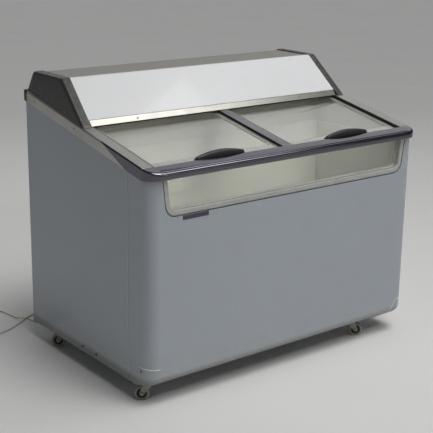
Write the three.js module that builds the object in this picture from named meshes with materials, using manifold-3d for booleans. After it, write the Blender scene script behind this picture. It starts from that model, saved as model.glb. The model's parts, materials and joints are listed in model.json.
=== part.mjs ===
// A shop display chest freezer: sloping top with two sliding glass lids, a glazed slot in the front,
// a hood over the rear machine compartment, four swivel casters, a mains lead and an earth lead.
// Millimetres, +Z up. The front faces -Y. The origin is on the floor, under the middle of the freezer.
import * as THREE from "three";
import { mergeVertices } from "three/addons/utils/BufferGeometryUtils.js";
import Module from "manifold-3d";

const wasm = await Module();
wasm.setup();

// ---------- driving dimensions ----------
const WIDTH = 1200;
const DEPTH = 769;
const FRONT_TOP = 729.4; // height of the side walls at the front, above the cabinet's lower edge
const REAR_TOP = 875.2; // and at the rear
const FLOOR_DROP = 66; // from the cabinet's lower edge down to the floor
const GAP = 0.3; // between pieces that touch
const SHEET = 1.5; // painted and plated sheet steel
const CORNER_R = 45; // front panel's vertical corners and lower edge
const SEAM_Y = -268; // where the front panel's return meets the side panel

const RAIL_WIDTH = 43; // side rail, across its top
const RAIL_DROP = 39; // side rail, down the cabinet's side
const NOSE_Y = -400; // foremost line of the front rail
const CAP_Y = -348; // rear edge of the corner caps
const CAP_X = 552; // inner end of the corner caps

const LID_FRONT_Y = -348.5;
const LID_REAR_Y = 97;
const LID_TOP = -11; // below the plane of the rails
const LID_THICK = 9;
const LID_EDGE = 20; // width of the lid's aluminium frame
const LID_GRIP = 45; // depth of the frame's front bar, which carries the handle
const MULLION_HALF = 18;
const HANDLE_LENGTH = 200;
const HANDLE_DEPTH = 36;
const HANDLE_HEIGHT = 29;

const TANK_REAR_Y = 88; // inside of the tank, above its ledge
const TANK_HALF = 548; // half its width there
const LEDGE_Z = 690;
const LEDGE = 14; // how far the tank steps in at the ledge
const TANK_FLOOR_Z = 112;
const WALL_REAR_Y = 140; // rear face of the insulation

const WINDOW_BOTTOM = 577;
const WINDOW_TOP = 709.5;
const WINDOW_HALF_LOW = 533; // half width near the bottom
const WINDOW_HALF_HIGH = 545; // and at the top
const WINDOW_R = 38;
const BEZEL = 17;

const HOOD_TOP = 946;
const HOOD_FRONT_Y = 156; // front edge of the hood's top
const HOOD_BACK_Y = 352; // rear edge of the hood's top
const HOOD_PITCH = Math.atan2(944 - 822.2, 155 - 17.5); // slope of the white panel
const HOOD_INNER = 563; // half the distance between the end caps, low down
const HOOD_OUTER = 597;
const HOOD_LEAN = 0.105; // how far the end caps lean in, per unit of height
const HOOD_WALL = 3;

const WHEEL_R = 25;
const WHEEL_WIDTH = 20;
const CASTER_TRAIL = 18;
// Swivel axes, and the way each wheel trails at rest, in degrees.
const CASTERS = {
  front_left: [-553, -309, 142],
  front_right: [392, -309, -38],
  rear_left: [-553, 240, 142],
  rear_right: [392, 240, 142],
};

const CORD_D = 7;
const EARTH_D = 3.5;
// A coil of lead: the middle radius of its turns, and the width and height of the ring they fill.
const CORD_COIL = { x: -768, y: 500, radius: 36, width: 26, height: 14.2 };
const EARTH_COIL = { x: -627.4, y: 727.2, radius: 20.25, width: 11.1, height: 14.2 };

// ---------- worked-out sizes ----------
const HALF_X = WIDTH / 2;
const HALF_Y = DEPTH / 2;
const PANEL_X = HALF_X - SHEET; // side panels sit just inside the rails' outer faces
const BASE_TOP = 6.3; // floor of the base tray
const RISE = (REAR_TOP - FRONT_TOP) / DEPTH;
const SLOPE = Math.atan(RISE);
const MID_TOP = (FRONT_TOP + REAR_TOP) / 2;
const FLOOR_Z = -FLOOR_DROP;
const REAR_CAP_Y = 393;
const CENTRE_Y = (NOSE_Y + REAR_CAP_Y) / 2;
const LID_BOTTOM = LID_TOP - LID_THICK;
const TRACK_SHELF = LID_BOTTOM - GAP - 0.2; // top of the ledge that a lid slides on
const FLANGE_TOP = TRACK_SHELF - 3 - GAP; // liner's flange, in the sloping frame
const TOP_INSIDE = HALF_X - RAIL_WIDTH; // inner edge of the side rails

const topAt = (y) => MID_TOP + RISE * y;
// Distance along the slope of the point that lies over y, at height w above the rails' plane.
const along = (y, w = 0) => (y + w * Math.sin(SLOPE)) / Math.cos(SLOPE);

// ---------- materials ----------
const finish = (color, roughness, metalness, extra = {}) =>
  new THREE.MeshStandardMaterial({ color, roughness, metalness, ...extra });
const FINISHES = {
  white_paint: finish(0xd9dde0, 0.35, 0.1),
  hood_white: finish(0xe6e6e4, 0.3, 0),
  hood_charcoal: finish(0x3a3733, 0.55, 0),
  hood_brown: finish(0x7d7a70, 0.5, 0.1),
  stainless: finish(0xb9b6ac, 0.25, 1),
  chrome: finish(0xd8dadd, 0.08, 1),
  aluminium: finish(0xa3a5a8, 0.35, 1),
  galvanised: finish(0x9a9c9b, 0.5, 0.9),
  black_plastic: finish(0x161618, 0.5, 0),
  liner: finish(0xc9c7b4, 0.45, 0),
  cream_plastic: finish(0xcfcdc0, 0.45, 0),
  glass: finish(0xdfe8e4, 0.05, 0, { transparent: true, opacity: 0.3 }),
  foam: finish(0xe3d6a4, 0.95, 0),
  compressor_black: finish(0x1b1b1c, 0.4, 0.4),
  copper: finish(0xb06a3c, 0.3, 1),
  fin_metal: finish(0xb3b6b8, 0.4, 1),
  wheel_nylon: finish(0x8c8770, 0.6, 0),
  cord_white: finish(0xcfcec6, 0.5, 0),
  earth_green: finish(0x9aa25a, 0.5, 0),
};

// ---------- geometry helpers ----------
const vec2 = (points) => points.map(([a, b]) => new THREE.Vector2(a, b));
const vec3 = (points) => points.map(([x, y, z]) => new THREE.Vector3(x, y, z));

function solid(geometry) {
  const bare = geometry.clone();
  bare.deleteAttribute("normal");
  bare.deleteAttribute("uv");
  const merged = mergeVertices(bare, 1e-4);
  return new wasm.Manifold(
    new wasm.Mesh({
      numProp: 3,
      vertProperties: merged.getAttribute("position").array,
      triVerts: new Uint32Array(merged.index.array),
    }),
  );
}

function geometryOf(made) {
  const mesh = made.getMesh();
  const geometry = new THREE.BufferGeometry();
  const positions = new Float32Array(mesh.vertProperties);
  geometry.setAttribute("position", new THREE.BufferAttribute(positions, 3));
  geometry.setIndex(new THREE.BufferAttribute(new Uint32Array(mesh.triVerts), 1));
  return geometry;
}

const cut = (body, ...tools) =>
  geometryOf(tools.reduce((left, tool) => left.subtract(solid(tool)), solid(body)));
const join = (body, ...others) =>
  geometryOf(others.reduce((left, other) => left.add(solid(other)), solid(body)));
const common = (a, b) => geometryOf(solid(a).intersect(solid(b)));

const box = (x0, x1, y0, y1, z0, z1) =>
  new THREE.BoxGeometry(x1 - x0, y1 - y0, z1 - z0).translate(
    (x0 + x1) / 2,
    (y0 + y1) / 2,
    (z0 + z1) / 2,
  );

// A cylinder along "x", "y" or "z".
function rod(axis, centre, radius, length, sides = 16) {
  const geometry = new THREE.CylinderGeometry(radius, radius, length, sides);
  if (axis === "x") geometry.rotateZ(Math.PI / 2);
  if (axis === "z") geometry.rotateX(Math.PI / 2);
  return geometry.translate(...centre);
}

const outline = (points, hole) => {
  const shape = new THREE.Shape(vec2(points));
  if (hole) shape.holes.push(new THREE.Path(vec2(hole)));
  return shape;
};

const extrude = (shape, depth) =>
  new THREE.ExtrudeGeometry(shape, { depth, bevelEnabled: false, curveSegments: 6 });

// A (y, z) outline carried along X.
function prismX(points, x0, x1, hole) {
  const turn = new THREE.Matrix4().makeBasis(
    new THREE.Vector3(0, 1, 0),
    new THREE.Vector3(0, 0, 1),
    new THREE.Vector3(1, 0, 0),
  );
  return extrude(outline(points, hole), x1 - x0).applyMatrix4(turn).translate(x0, 0, 0);
}

// An (x, z) outline carried along Y.
const prismY = (points, y0, y1, hole) =>
  extrude(outline(points, hole), y1 - y0).rotateX(Math.PI / 2).translate(0, y1, 0);

// An (x, y) outline carried along Z.
const prismZ = (points, z0, z1, hole) =>
  extrude(outline(points, hole), z1 - z0).translate(0, 0, z0);

// Points of an arc, in degrees, both ends included.
function arc(cx, cy, radius, from, to, steps = 6) {
  return Array.from({ length: steps + 1 }, (_, i) => {
    const angle = THREE.MathUtils.degToRad(from + ((to - from) * i) / steps);
    return [cx + radius * Math.cos(angle), cy + radius * Math.sin(angle)];
  });
}

// A closed body through rings of points, each ring with the same number of points, ends capped.
function loft(rings) {
  const count = rings[0].length;
  const positions = rings.flat().flatMap((p) => [p.x, p.y, p.z]);
  const index = [];
  for (let r = 0; r + 1 < rings.length; r++) {
    for (let i = 0; i < count; i++) {
      const a = r * count + i;
      const b = r * count + ((i + 1) % count);
      index.push(a, b, b + count, a, b + count, a + count);
    }
  }
  const flat = rings[0].map((p) => new THREE.Vector2(p.x, p.y));
  const caps = THREE.ShapeUtils.triangulateShape(flat, []);
  const last = (rings.length - 1) * count;
  for (const [a, b, c] of caps) {
    index.push(a, c, b);
    index.push(last + a, last + b, last + c);
  }
  const geometry = new THREE.BufferGeometry();
  geometry.setAttribute("position", new THREE.Float32BufferAttribute(positions, 3));
  geometry.setIndex(index);
  return geometry;
}

const inSlope = (geometry) => geometry.rotateX(SLOPE).translate(0, 0, MID_TOP);
const mirrored = (points) => points.map(([x, y]) => [-x, y]).reverse();
const lathe = (points, sides = 20) =>
  new THREE.LatheGeometry(vec2(points), sides).rotateX(Math.PI / 2);

function tube(points, diameter, sides, steps) {
  const section = new THREE.Shape(vec2(arc(0, 0, diameter / 2, 0, 360, sides).slice(0, -1)));
  const path = new THREE.CatmullRomCurve3(vec3(points), false, "centripetal");
  return new THREE.ExtrudeGeometry(section, { steps, extrudePath: path, bevelEnabled: false });
}

// ---------- scene graph ----------
const freezer = new THREE.Group();
const cabinet = new THREE.Group(); // its z = 0 is the cabinet's lower edge
cabinet.position.set(0, -CENTRE_Y, FLOOR_DROP);
const slopeFrame = new THREE.Group(); // its xy plane is the top plane of the rails
slopeFrame.position.set(0, 0, MID_TOP);
slopeFrame.rotation.x = SLOPE;
cabinet.add(slopeFrame);
freezer.add(cabinet);

function piece(parent, name, geometry, material) {
  const mesh = new THREE.Mesh(geometry, FINISHES[material]);
  mesh.name = name;
  parent.add(mesh);
  return mesh;
}

// ---------- outer shell ----------
// Plan outline of the front panel, set back from the front by "inset" and offset inwards by "thick".
function frontOutline(inset, thick, z) {
  const r = CORNER_R - thick;
  const x = PANEL_X - CORNER_R;
  const y = -HALF_Y + CORNER_R + inset;
  const left = arc(-x, y, r, 180, 270, 8);
  const right = arc(x, y, r, 270, 360, 8);
  const back = [
    [PANEL_X - thick, SEAM_Y],
    [-PANEL_X + thick, SEAM_Y],
  ];
  return [...left, ...right, ...back].map(([px, py]) => new THREE.Vector3(px, py, z));
}

function frontBody(thick, zTop) {
  const rings = [];
  const steps = 7;
  for (let i = 0; i <= steps; i++) {
    const angle = (Math.PI / 2) * (i / steps);
    const radius = CORNER_R - thick;
    const inset = CORNER_R - thick - radius * Math.sin(angle);
    const z = CORNER_R - radius * Math.cos(angle);
    rings.push(frontOutline(inset, thick, z));
  }
  rings.push(frontOutline(0, thick, zTop));
  return loft(rings);
}

// The window's outline in x and z, shrunk by "inset" all round. Its sides flare outwards to "top".
function windowOutline(inset, top = WINDOW_TOP - inset) {
  const low = WINDOW_HALF_LOW - inset;
  const bottom = WINDOW_BOTTOM + inset;
  const r = WINDOW_R - inset;
  const flare = (WINDOW_HALF_HIGH - WINDOW_HALF_LOW) / (WINDOW_TOP - WINDOW_BOTTOM - WINDOW_R);
  const high = low + flare * (top - bottom - r);
  const right = arc(low - r, bottom + r, r, 270, 360, 6);
  const left = mirrored(right);
  return [...left, ...right, [high, top], [-high, top]];
}

function frontPanel() {
  const top = 713;
  const inner = frontBody(SHEET, top + 5).translate(0, 0.6, 0);
  const opening = prismY(windowOutline(-GAP, top + 20), -HALF_Y - 5, -HALF_Y + 20);
  const backOpen = box(-PANEL_X + SHEET, PANEL_X - SHEET, -342, SEAM_Y + 5, -5, SHEET + 5);
  const behind = box(-PANEL_X + SHEET, PANEL_X - SHEET, SEAM_Y - 5, SEAM_Y + 5, -5, top + 5);
  return cut(frontBody(0, top), inner, opening, backOpen, behind);
}

function sidePanel(side) {
  const y0 = SEAM_Y + 0.8;
  const y1 = 382;
  const drop = 6;
  const points = [
    [y0, 0],
    [y1, 0],
    [y1, topAt(y1) - drop],
    [y0, topAt(y0) - drop],
  ];
  const inner = PANEL_X - SHEET;
  return side < 0 ? prismX(points, -PANEL_X, -inner) : prismX(points, inner, PANEL_X);
}

// Louvred back, notched at its upper corners for the rear caps.
function rearPanel() {
  const z1 = topAt(382) + 0.5;
  const y0 = 382.4;
  const y1 = y0 + SHEET;
  const half = PANEL_X - SHEET - GAP;
  const notch = z1 - RAIL_DROP - 2;
  const right = [
    [half, 12],
    [half, notch],
    [TOP_INSIDE - 1, notch],
    [TOP_INSIDE - 1, z1],
  ];
  const plate = prismY([...right, ...mirrored(right)], y0, y1);
  const slots = [];
  for (const x of [-390, -230, 60, 220]) {
    for (let row = 0; row < 9; row++) {
      const z = 90 + row * 34;
      slots.push(box(x - 60, x + 60, y0 - 2, y1 + 2, z, z + 9));
    }
  }
  const dialWindow = box(395, 505, y0 - 2, y1 + 2, 120, 190);
  const cordHole = rod("y", [-430, y1, 62], 9, 10, 12);
  return cut(plate, ...slots, dialWindow, cordHole);
}

// Plan of the base tray, its front corners cut off inside the front panel's bends.
function trayPlan(inset) {
  const x = PANEL_X - SHEET - 1 - inset;
  const right = [
    [553, -341 + inset],
    [x, -300 + inset],
    [x, 381.5 - inset],
  ];
  return [...right, ...mirrored(right)];
}

function baseFrame() {
  const rim = 24;
  const tray = prismZ(trayPlan(0), BASE_TOP - 2, BASE_TOP - 2 + rim);
  return cut(tray, prismZ(trayPlan(2), BASE_TOP, BASE_TOP + 60));
}

function foam() {
  const top = FLANGE_TOP - 2 - GAP;
  const lineTop = (y) => topAt(y) + top / Math.cos(SLOPE);
  const z0 = 30;
  const profile = [
    [-379, 52],
    [-330, z0],
    [WALL_REAR_Y, z0],
    [WALL_REAR_Y, lineTop(WALL_REAR_Y)],
    [-379, lineTop(-379)],
  ];
  const plan = [
    [-596, WALL_REAR_Y + 1],
    [-596, -335],
    [-555, -380],
    [555, -380],
    [596, -335],
    [596, WALL_REAR_Y + 1],
  ];
  const block = common(prismX(profile, -596, 596), prismZ(plan, 20, 900));
  const c = 2 + GAP; // the liner's wall and the gap around it
  const upper = box(
    -TANK_HALF - c, TANK_HALF + c, -346, TANK_REAR_Y + c, LEDGE_Z - c, 900);
  const lower = box(
    -TANK_HALF + LEDGE - c, TANK_HALF - LEDGE + c,
    -346, TANK_REAR_Y - LEDGE + c, TANK_FLOOR_Z - c, LEDGE_Z + 5);
  const tunnel = prismY(windowOutline(-GAP, WINDOW_TOP + 40), -400, -340);
  const evaporatorPocket = box(-500, 500, 60, 86, 160, 640);
  return cut(block, upper, lower, tunnel, evaporatorPocket);
}

function liner() {
  const t = 2;
  const front = -345.7;
  const top = 900;
  const upper = (grow, z0) => box(
    -TANK_HALF - grow, TANK_HALF + grow, front + t - grow, TANK_REAR_Y + grow, z0, top);
  const lower = (grow, z0, z1) => box(
    -TANK_HALF + LEDGE - grow, TANK_HALF - LEDGE + grow,
    front + t - grow, TANK_REAR_Y - LEDGE + grow, z0, z1);
  const outside = join(upper(t, LEDGE_Z - t), lower(t, TANK_FLOOR_Z - t, LEDGE_Z));
  const inside = join(upper(0, LEDGE_Z), lower(0, TANK_FLOOR_Z, LEDGE_Z + 1));
  const cropAbove = inSlope(box(-700, 700, -600, 600, FLANGE_TOP, 400));
  const walls = cut(outside, cropAbove);
  const flange = inSlope(box(-594, 594, along(-348.5, -25), along(139, -25), FLANGE_TOP - 2, FLANGE_TOP));
  const window = prismY(windowOutline(BEZEL, WINDOW_TOP - 14), -380, -340);
  return cut(join(walls, flange), inside, window);
}

// ---------- bright trim ----------
function sideRail(side) {
  const r = 5;
  const t = SHEET - GAP;
  const down = -RAIL_DROP * Math.cos(SLOPE);
  const points = [
    [TOP_INSIDE, 0],
    [TOP_INSIDE, -20],
    [TOP_INSIDE + SHEET, -20],
    [TOP_INSIDE + SHEET, -SHEET],
    ...arc(HALF_X - r, -r, r - t, 90, 0, 4),
    [HALF_X - t, down],
    [HALF_X, down],
    ...arc(HALF_X - r, -r, r, 0, 90, 4),
  ];
  const strip = inSlope(prismY(side < 0 ? mirrored(points) : points, -420, 420));
  const keep = box(-700, 700, CAP_Y + GAP, 372, 0, 1200);
  return common(strip, keep);
}

// Upper outline of the front rail in y and z, from its inner edge round the nose to its lower lip.
function nose(front = NOSE_Y) {
  const r = 12;
  const ridgeY = front + r;
  return [
    [-350.3, topAt(-350.3)],
    [ridgeY + 2, topAt(ridgeY + 2) - 1],
    ...arc(ridgeY, 714, r, 90, 180, 6),
    ...arc(front + 5, 705.5, 5, 180, 270, 3),
  ];
}

function frontRail() {
  const points = [
    ...nose(),
    [-HALF_Y - 0.6, 700.5],
    [-HALF_Y - 0.6, 716],
    [-350.3, 716],
  ];
  return prismX(points, -CAP_X + GAP, CAP_X - GAP);
}

function cornerCap(side) {
  const planR = 58;
  const x1 = HALF_X;
  const bottom = 698;
  const plan = [
    [CAP_X, NOSE_Y],
    ...arc(x1 - planR + 10, NOSE_Y + planR - 10, planR - 10, 270, 360, 8),
    [x1, CAP_Y],
    [TOP_INSIDE, CAP_Y],
    [TOP_INSIDE, -350.6],
    [CAP_X, -350.6],
  ];
  const shell = prismZ(side < 0 ? mirrored(plan) : plan, bottom, 760);
  const top = inSlope(box(-700, 700, -600, 600, 0, 200));
  const hollow = frontBody(-0.6, 713.6);
  const tuck = box(-PANEL_X + 2, PANEL_X - 2, -382, -300, 600, 713.6);
  return cut(shell, top, hollow, tuck);
}

function rearCap(side) {
  const down = -RAIL_DROP * Math.cos(SLOPE);
  const r = 6;
  const points = [
    [TOP_INSIDE, -20],
    [HALF_X - 14, -20],
    [HALF_X - 14, down],
    [HALF_X, down],
    ...arc(HALF_X - r, -r, r, 0, 90, 4),
    [TOP_INSIDE, 0],
  ];
  const strip = inSlope(prismY(side < 0 ? mirrored(points) : points, 300, 450));
  const keep = box(-700, 700, 372 + GAP, REAR_CAP_Y, 0, 1200);
  const clearance = box(-PANEL_X - GAP, PANEL_X + GAP, 360, 384.3, 0, topAt(382) - 5.4);
  return cut(common(strip, keep), clearance);
}

// ---------- lid guides ----------
function lidTrack(side) {
  const web = TOP_INSIDE - GAP;
  const points = [
    [web, -0.6],
    [web - 3, -0.6],
    [web - 3, TRACK_SHELF],
    [web - 17, TRACK_SHELF],
    [web - 17, TRACK_SHELF - 3],
    [web, TRACK_SHELF - 3],
  ];
  const shape = side < 0 ? mirrored(points) : points;
  return prismY(shape, along(-349.8), along(374));
}

function mullion() {
  const h = MULLION_HALF;
  const foot = TRACK_SHELF - 3;
  const ridge = (x) => [
    [x - 2.4, -2.2],
    [x - 1.4, 0],
    [x + 1.4, 0],
    [x + 2.4, -2.2],
  ];
  const top = [-12, -4, 4, 12].flatMap(ridge);
  const points = [
    [-h, -2.2],
    ...top,
    [h, -2.2],
    [h, TRACK_SHELF],
    [h + 10, TRACK_SHELF],
    [h + 10, foot],
    [-h - 10, foot],
    [-h - 10, TRACK_SHELF],
    [-h, TRACK_SHELF],
  ].reverse();
  const tunnel = [
    [-h + 3, foot + 2.4],
    [h - 3, foot + 2.4],
    [h - 3, -6],
    [-h + 3, -6],
  ];
  return prismY(points, along(-349.8), along(374), tunnel);
}

// ---------- sliding lids ----------
const LID_X0 = MULLION_HALF + 1;
const LID_X1 = TOP_INSIDE - GAP - 3 - 0.5;
const LID_V0 = along(LID_FRONT_Y, LID_TOP);
const LID_V1 = along(LID_REAR_Y, LID_TOP);

function lidFrame() {
  const body = box(LID_X0, LID_X1, LID_V0, LID_V1, LID_BOTTOM, LID_TOP);
  const e = LID_EDGE;
  const opening = box(
    LID_X0 + e, LID_X1 - e, LID_V0 + LID_GRIP, LID_V1 - e, LID_BOTTOM - 5, LID_TOP + 5);
  return cut(body, opening);
}

function lidGlass() {
  const e = LID_EDGE + 0.4;
  return box(
    LID_X0 + e, LID_X1 - e, LID_V0 + LID_GRIP + 0.4, LID_V1 - e, LID_TOP - 5.5, LID_TOP - 1.5);
}

// An arched grip on the front bar, with low blunt ends.
function lidHandle() {
  const centre = (LID_X0 + LID_X1) / 2;
  const stations = 12;
  const rings = [];
  for (let i = 0; i <= stations; i++) {
    const s = i / stations;
    const x = centre + (s - 0.5) * HANDLE_LENGTH;
    const bulge = Math.sin(Math.PI * (0.12 + 0.74 * s));
    const height = 8 + (HANDLE_HEIGHT - 8) * bulge;
    const depth = HANDLE_DEPTH * (0.35 + 0.65 * bulge);
    const v0 = LID_V0 + 1.2;
    const w0 = LID_TOP + GAP;
    const ring = [
      [v0, w0],
      [v0 + depth, w0],
      [v0 + depth * 0.8, w0 + height * 0.75],
      [v0 + depth * 0.45, w0 + height],
      [v0 + depth * 0.12, w0 + height * 0.8],
    ];
    rings.push(ring.map(([v, w]) => new THREE.Vector3(v, w, x)));
  }
  const turn = new THREE.Matrix4().makeBasis(
    new THREE.Vector3(0, 1, 0),
    new THREE.Vector3(0, 0, 1),
    new THREE.Vector3(1, 0, 0),
  );
  return loft(rings).applyMatrix4(turn);
}

// ---------- hood over the rear ----------
// Leans a hood piece in towards the middle as it rises.
function lean(geometry) {
  const position = geometry.getAttribute("position");
  for (let i = 0; i < position.count; i++) {
    const x = position.getX(i);
    const shift = HOOD_LEAN * (position.getZ(i) - 822.2);
    position.setX(i, x - Math.sign(x) * shift);
  }
  return geometry;
}

// Side outline of an end cap in y and z, shrunk by "inset".
function hoodOutline(inset) {
  const cot = 1 / Math.tan(HOOD_PITCH);
  const slant = inset / Math.sin(HOOD_PITCH);
  const top = HOOD_TOP - inset;
  const lift = 0.5 + inset;
  const frontAt = (z) => HOOD_FRONT_Y - (HOOD_TOP - z) * cot + slant;
  const footY = -7 + inset * 3;
  const rearFoot = 386 - inset * 1.1;
  const r = 16 - inset;
  return [
    [footY, topAt(footY) + lift],
    [rearFoot, topAt(rearFoot) + lift],
    ...arc(HOOD_BACK_Y - r - inset, top - r, r, 50, 90, 4),
    [frontAt(top), top],
    [frontAt(topAt(footY) + lift + 8), topAt(footY) + lift + 8],
  ];
}

function hoodEnd(side) {
  const span = (inset, x0, x1) =>
    side < 0
      ? prismX(hoodOutline(inset), -x1, -x0)
      : prismX(hoodOutline(inset), x0, x1);
  const outside = span(0, HOOD_INNER, HOOD_OUTER);
  const inside = span(HOOD_WALL, HOOD_INNER - 5, HOOD_OUTER - HOOD_WALL);
  return lean(cut(outside, inside));
}

// The white panel, folded back along its upper edge.
function hoodFrontPanel() {
  const t = 3;
  const cot = 1 / Math.tan(HOOD_PITCH);
  const z0 = 822.2;
  const z1 = 944;
  const y0 = 17.5;
  const y1 = y0 + (z1 - z0) * cot;
  const points = [
    [y0, z0],
    [y0 + t * 1.4, z0],
    [y1 + t, z1 - t],
    [y1 + 12, z1 - t],
    [y1 + 12, z1],
    [y1, z1],
  ];
  const half = HOOD_INNER - 0.6;
  return lean(prismX(points, -half, half));
}

// Top and back of the hood, one folded sheet.
function hoodTop() {
  const t = 2;
  const y0 = 155 + 12.6;
  const z = 942;
  const yb = HOOD_BACK_Y - 8;
  const foot = 381;
  const zFoot = topAt(foot) + 2;
  const points = [
    [y0, z - t],
    [yb - t, z - t],
    [foot - t, zFoot],
    [foot, zFoot],
    [yb, z],
    [y0, z],
  ];
  const half = HOOD_INNER - 0.6;
  return lean(prismX(points, -half, half));
}

// Bright strip under the white panel, over the lids.
function rearRail() {
  const cot = 1 / Math.tan(HOOD_PITCH);
  const z0 = topAt(2) + 1;
  const z1 = 821.4;
  const y0 = 2;
  const y1 = y0 + (z1 - z0) * cot * 0.8;
  const points = [
    [y0, z0],
    [y0 + 26, z0 + 26 * RISE],
    [y0 + 26, z0 + 26 * RISE + 2],
    [y0 + 4.5, z0 + 4.5 * RISE + 2],
    [y1 + 2.5, z1],
    [y1, z1],
  ];
  const half = HOOD_INNER - 3;
  return prismX(points, -half, half);
}

// Sheet that closes the machine compartment under the parked lids.
function rearDeck() {
  const w1 = FLANGE_TOP;
  return box(-590, 590, along(139.8, -25), along(379, -25), w1 - SHEET, w1);
}

// ---------- front window ----------
function windowFrame() {
  const outer = windowOutline(0);
  const hole = windowOutline(BEZEL, WINDOW_TOP - 12);
  return prismY(outer, -HALF_Y - 0.4, -346, hole);
}

function windowPane(y0, thick) {
  return prismY(windowOutline(BEZEL + 0.5, WINDOW_TOP - 12.5), y0, y0 + thick);
}

// ---------- cooling unit ----------
function evaporator() {
  const y0 = TANK_REAR_Y - LEDGE + 2 + GAP;
  const plate = box(-480, 480, y0, y0 + 1.5, 180, 620);
  const ribs = [];
  for (let i = 0; i < 6; i++) {
    const z = 210 + i * 74;
    ribs.push(box(-450, 450, y0 + 1, y0 + 5, z, z + 9));
    if (i < 5) {
      const x = i % 2 ? -450 : 441;
      ribs.push(box(x, x + 9, y0 + 1, y0 + 5, z, z + 80));
    }
  }
  return join(plate, ...ribs);
}

const COMPRESSOR = [130, 262];

function compressor() {
  const z0 = BASE_TOP + 22;
  const profile = [
    [0, z0],
    [60, z0 + 4],
    [82, z0 + 18],
    [88, z0 + 34],
    [88, z0 + 92],
    [92, z0 + 94],
    [92, z0 + 100],
    [88, z0 + 102],
    [86, z0 + 138],
    [74, z0 + 160],
    [48, z0 + 172],
    [0, z0 + 176],
  ];
  const shell = lathe(profile, 20).translate(COMPRESSOR[0], COMPRESSOR[1], 0);
  const bracket = box(
    COMPRESSOR[0] - 105, COMPRESSOR[0] + 105, COMPRESSOR[1] - 60, COMPRESSOR[1] + 60, z0 - 2, z0 + 4);
  const feet = [];
  for (const dx of [-90, 90]) {
    for (const dy of [-46, 46]) {
      const centre = [COMPRESSOR[0] + dx, COMPRESSOR[1] + dy, (BASE_TOP + GAP + z0) / 2];
      feet.push(rod("z", centre, 12, z0 - BASE_TOP - GAP, 10));
    }
  }
  const stub = rod("x", [COMPRESSOR[0] - 92, COMPRESSOR[1], z0 + 60], 5, 20, 8);
  const relay = box(COMPRESSOR[0] + 84, COMPRESSOR[0] + 118, 235, 290, z0 + 30, z0 + 95);
  return join(shell, bracket, ...feet, stub, relay);
}

const COIL_UNIT = { x0: -440, x1: -120, y0: 318, y1: 374, z0: 34, z1: 324 };

function condenser() {
  const { x0, x1, y0, y1, z0, z1 } = COIL_UNIT;
  const core = box(x0, x1, y0 + 8, y1 - 8, z0 + 10, z1 - 10);
  const grooves = [];
  for (let i = 0; i < 15; i++) {
    const x = x0 + 18 + i * 20;
    grooves.push(box(x, x + 8, y0 - 1, y0 + 16, z0 - 5, z1 + 5));
    grooves.push(box(x, x + 8, y1 - 16, y1 + 1, z0 - 5, z1 + 5));
  }
  const ends = [box(x0, x0 + 3, y0, y1, z0, z1), box(x1 - 3, x1, y0, y1, z0, z1)];
  const foot = box(x0, x1, y0, y1, BASE_TOP + GAP, BASE_TOP + 3);
  const legs = [
    box(x0, x0 + 3, y0, y1, BASE_TOP + GAP, z0 + 2),
    box(x1 - 3, x1, y0, y1, BASE_TOP + GAP, z0 + 2),
  ];
  return join(cut(core, ...grooves), ...ends, foot, ...legs);
}

const FAN = { x: (COIL_UNIT.x0 + COIL_UNIT.x1) / 2, y: 296, z: 180, r: 118 };

function fanShroud() {
  const { x0, x1, z0, z1 } = COIL_UNIT;
  const plate = box(x0 + 5, x1 - 5, 308, 311, z0, z1);
  const ring = rod("y", [FAN.x, 297, FAN.z], FAN.r + 8, 26, 28);
  const hole = rod("y", [FAN.x, 300, FAN.z], FAN.r + 4, 60, 28);
  const lip = box(x0 + 5, x1 - 5, 308, COIL_UNIT.y0 - GAP, z1 - 3, z1);
  return cut(join(plate, ring, lip), hole);
}

function fan() {
  const hub = rod("y", [0, 0, 0], 26, 22, 16);
  const blades = [];
  for (let i = 0; i < 5; i++) {
    const blade = new THREE.BoxGeometry(50, 2, 96);
    blade.rotateZ(THREE.MathUtils.degToRad(24)).translate(0, 0, 66);
    blades.push(blade.rotateY((i * 2 * Math.PI) / 5));
  }
  const bore = rod("y", [0, -11, 0], 3.6, 20, 10);
  return cut(join(hub, ...blades), bore).translate(FAN.x, FAN.y, FAN.z);
}

function fanMotor() {
  const y1 = FAN.y - 11 - 3;
  const can = rod("y", [FAN.x, y1 - 30, FAN.z], 36, 60, 18);
  const shaft = rod("y", [FAN.x, y1 + 4, FAN.z], 3, 12, 10);
  const mast = box(FAN.x - 16, FAN.x + 16, y1 - 58, y1 - 52, BASE_TOP + GAP, FAN.z);
  const foot = box(FAN.x - 40, FAN.x + 40, y1 - 70, y1 - 10, BASE_TOP + GAP, BASE_TOP + 4);
  return join(can, shaft, mast, foot);
}

function dischargePipe() {
  const stubX = COMPRESSOR[0] - 102 - GAP;
  const stubZ = BASE_TOP + 22 + 60;
  const endX = COIL_UNIT.x1 + GAP;
  const points = [
    [stubX, COMPRESSOR[1], stubZ],
    [stubX - 20, COMPRESSOR[1], stubZ],
    [stubX - 42, COMPRESSOR[1] + 6, stubZ + 14],
    [stubX - 50, COMPRESSOR[1] + 24, 190],
    [stubX - 62, COMPRESSOR[1] + 60, 268],
    [endX + 46, 346, 292],
    [endX + 18, 346, 296],
    [endX, 346, 296],
  ];
  return tube(points, 8, 8, 30);
}

const DIAL = [450, 155];

function electricalBox() {
  const body = box(370, 530, 270, 366, 90, 235);
  const bracket = box(380, 520, 280, 340, BASE_TOP + GAP, 92);
  const hollow = box(386, 514, 270, 350, BASE_TOP + 3, 84);
  const spindle = rod("y", [DIAL[0], 368, DIAL[1]], 3, 8, 10);
  return join(cut(join(body, bracket), hollow), spindle);
}

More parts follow.
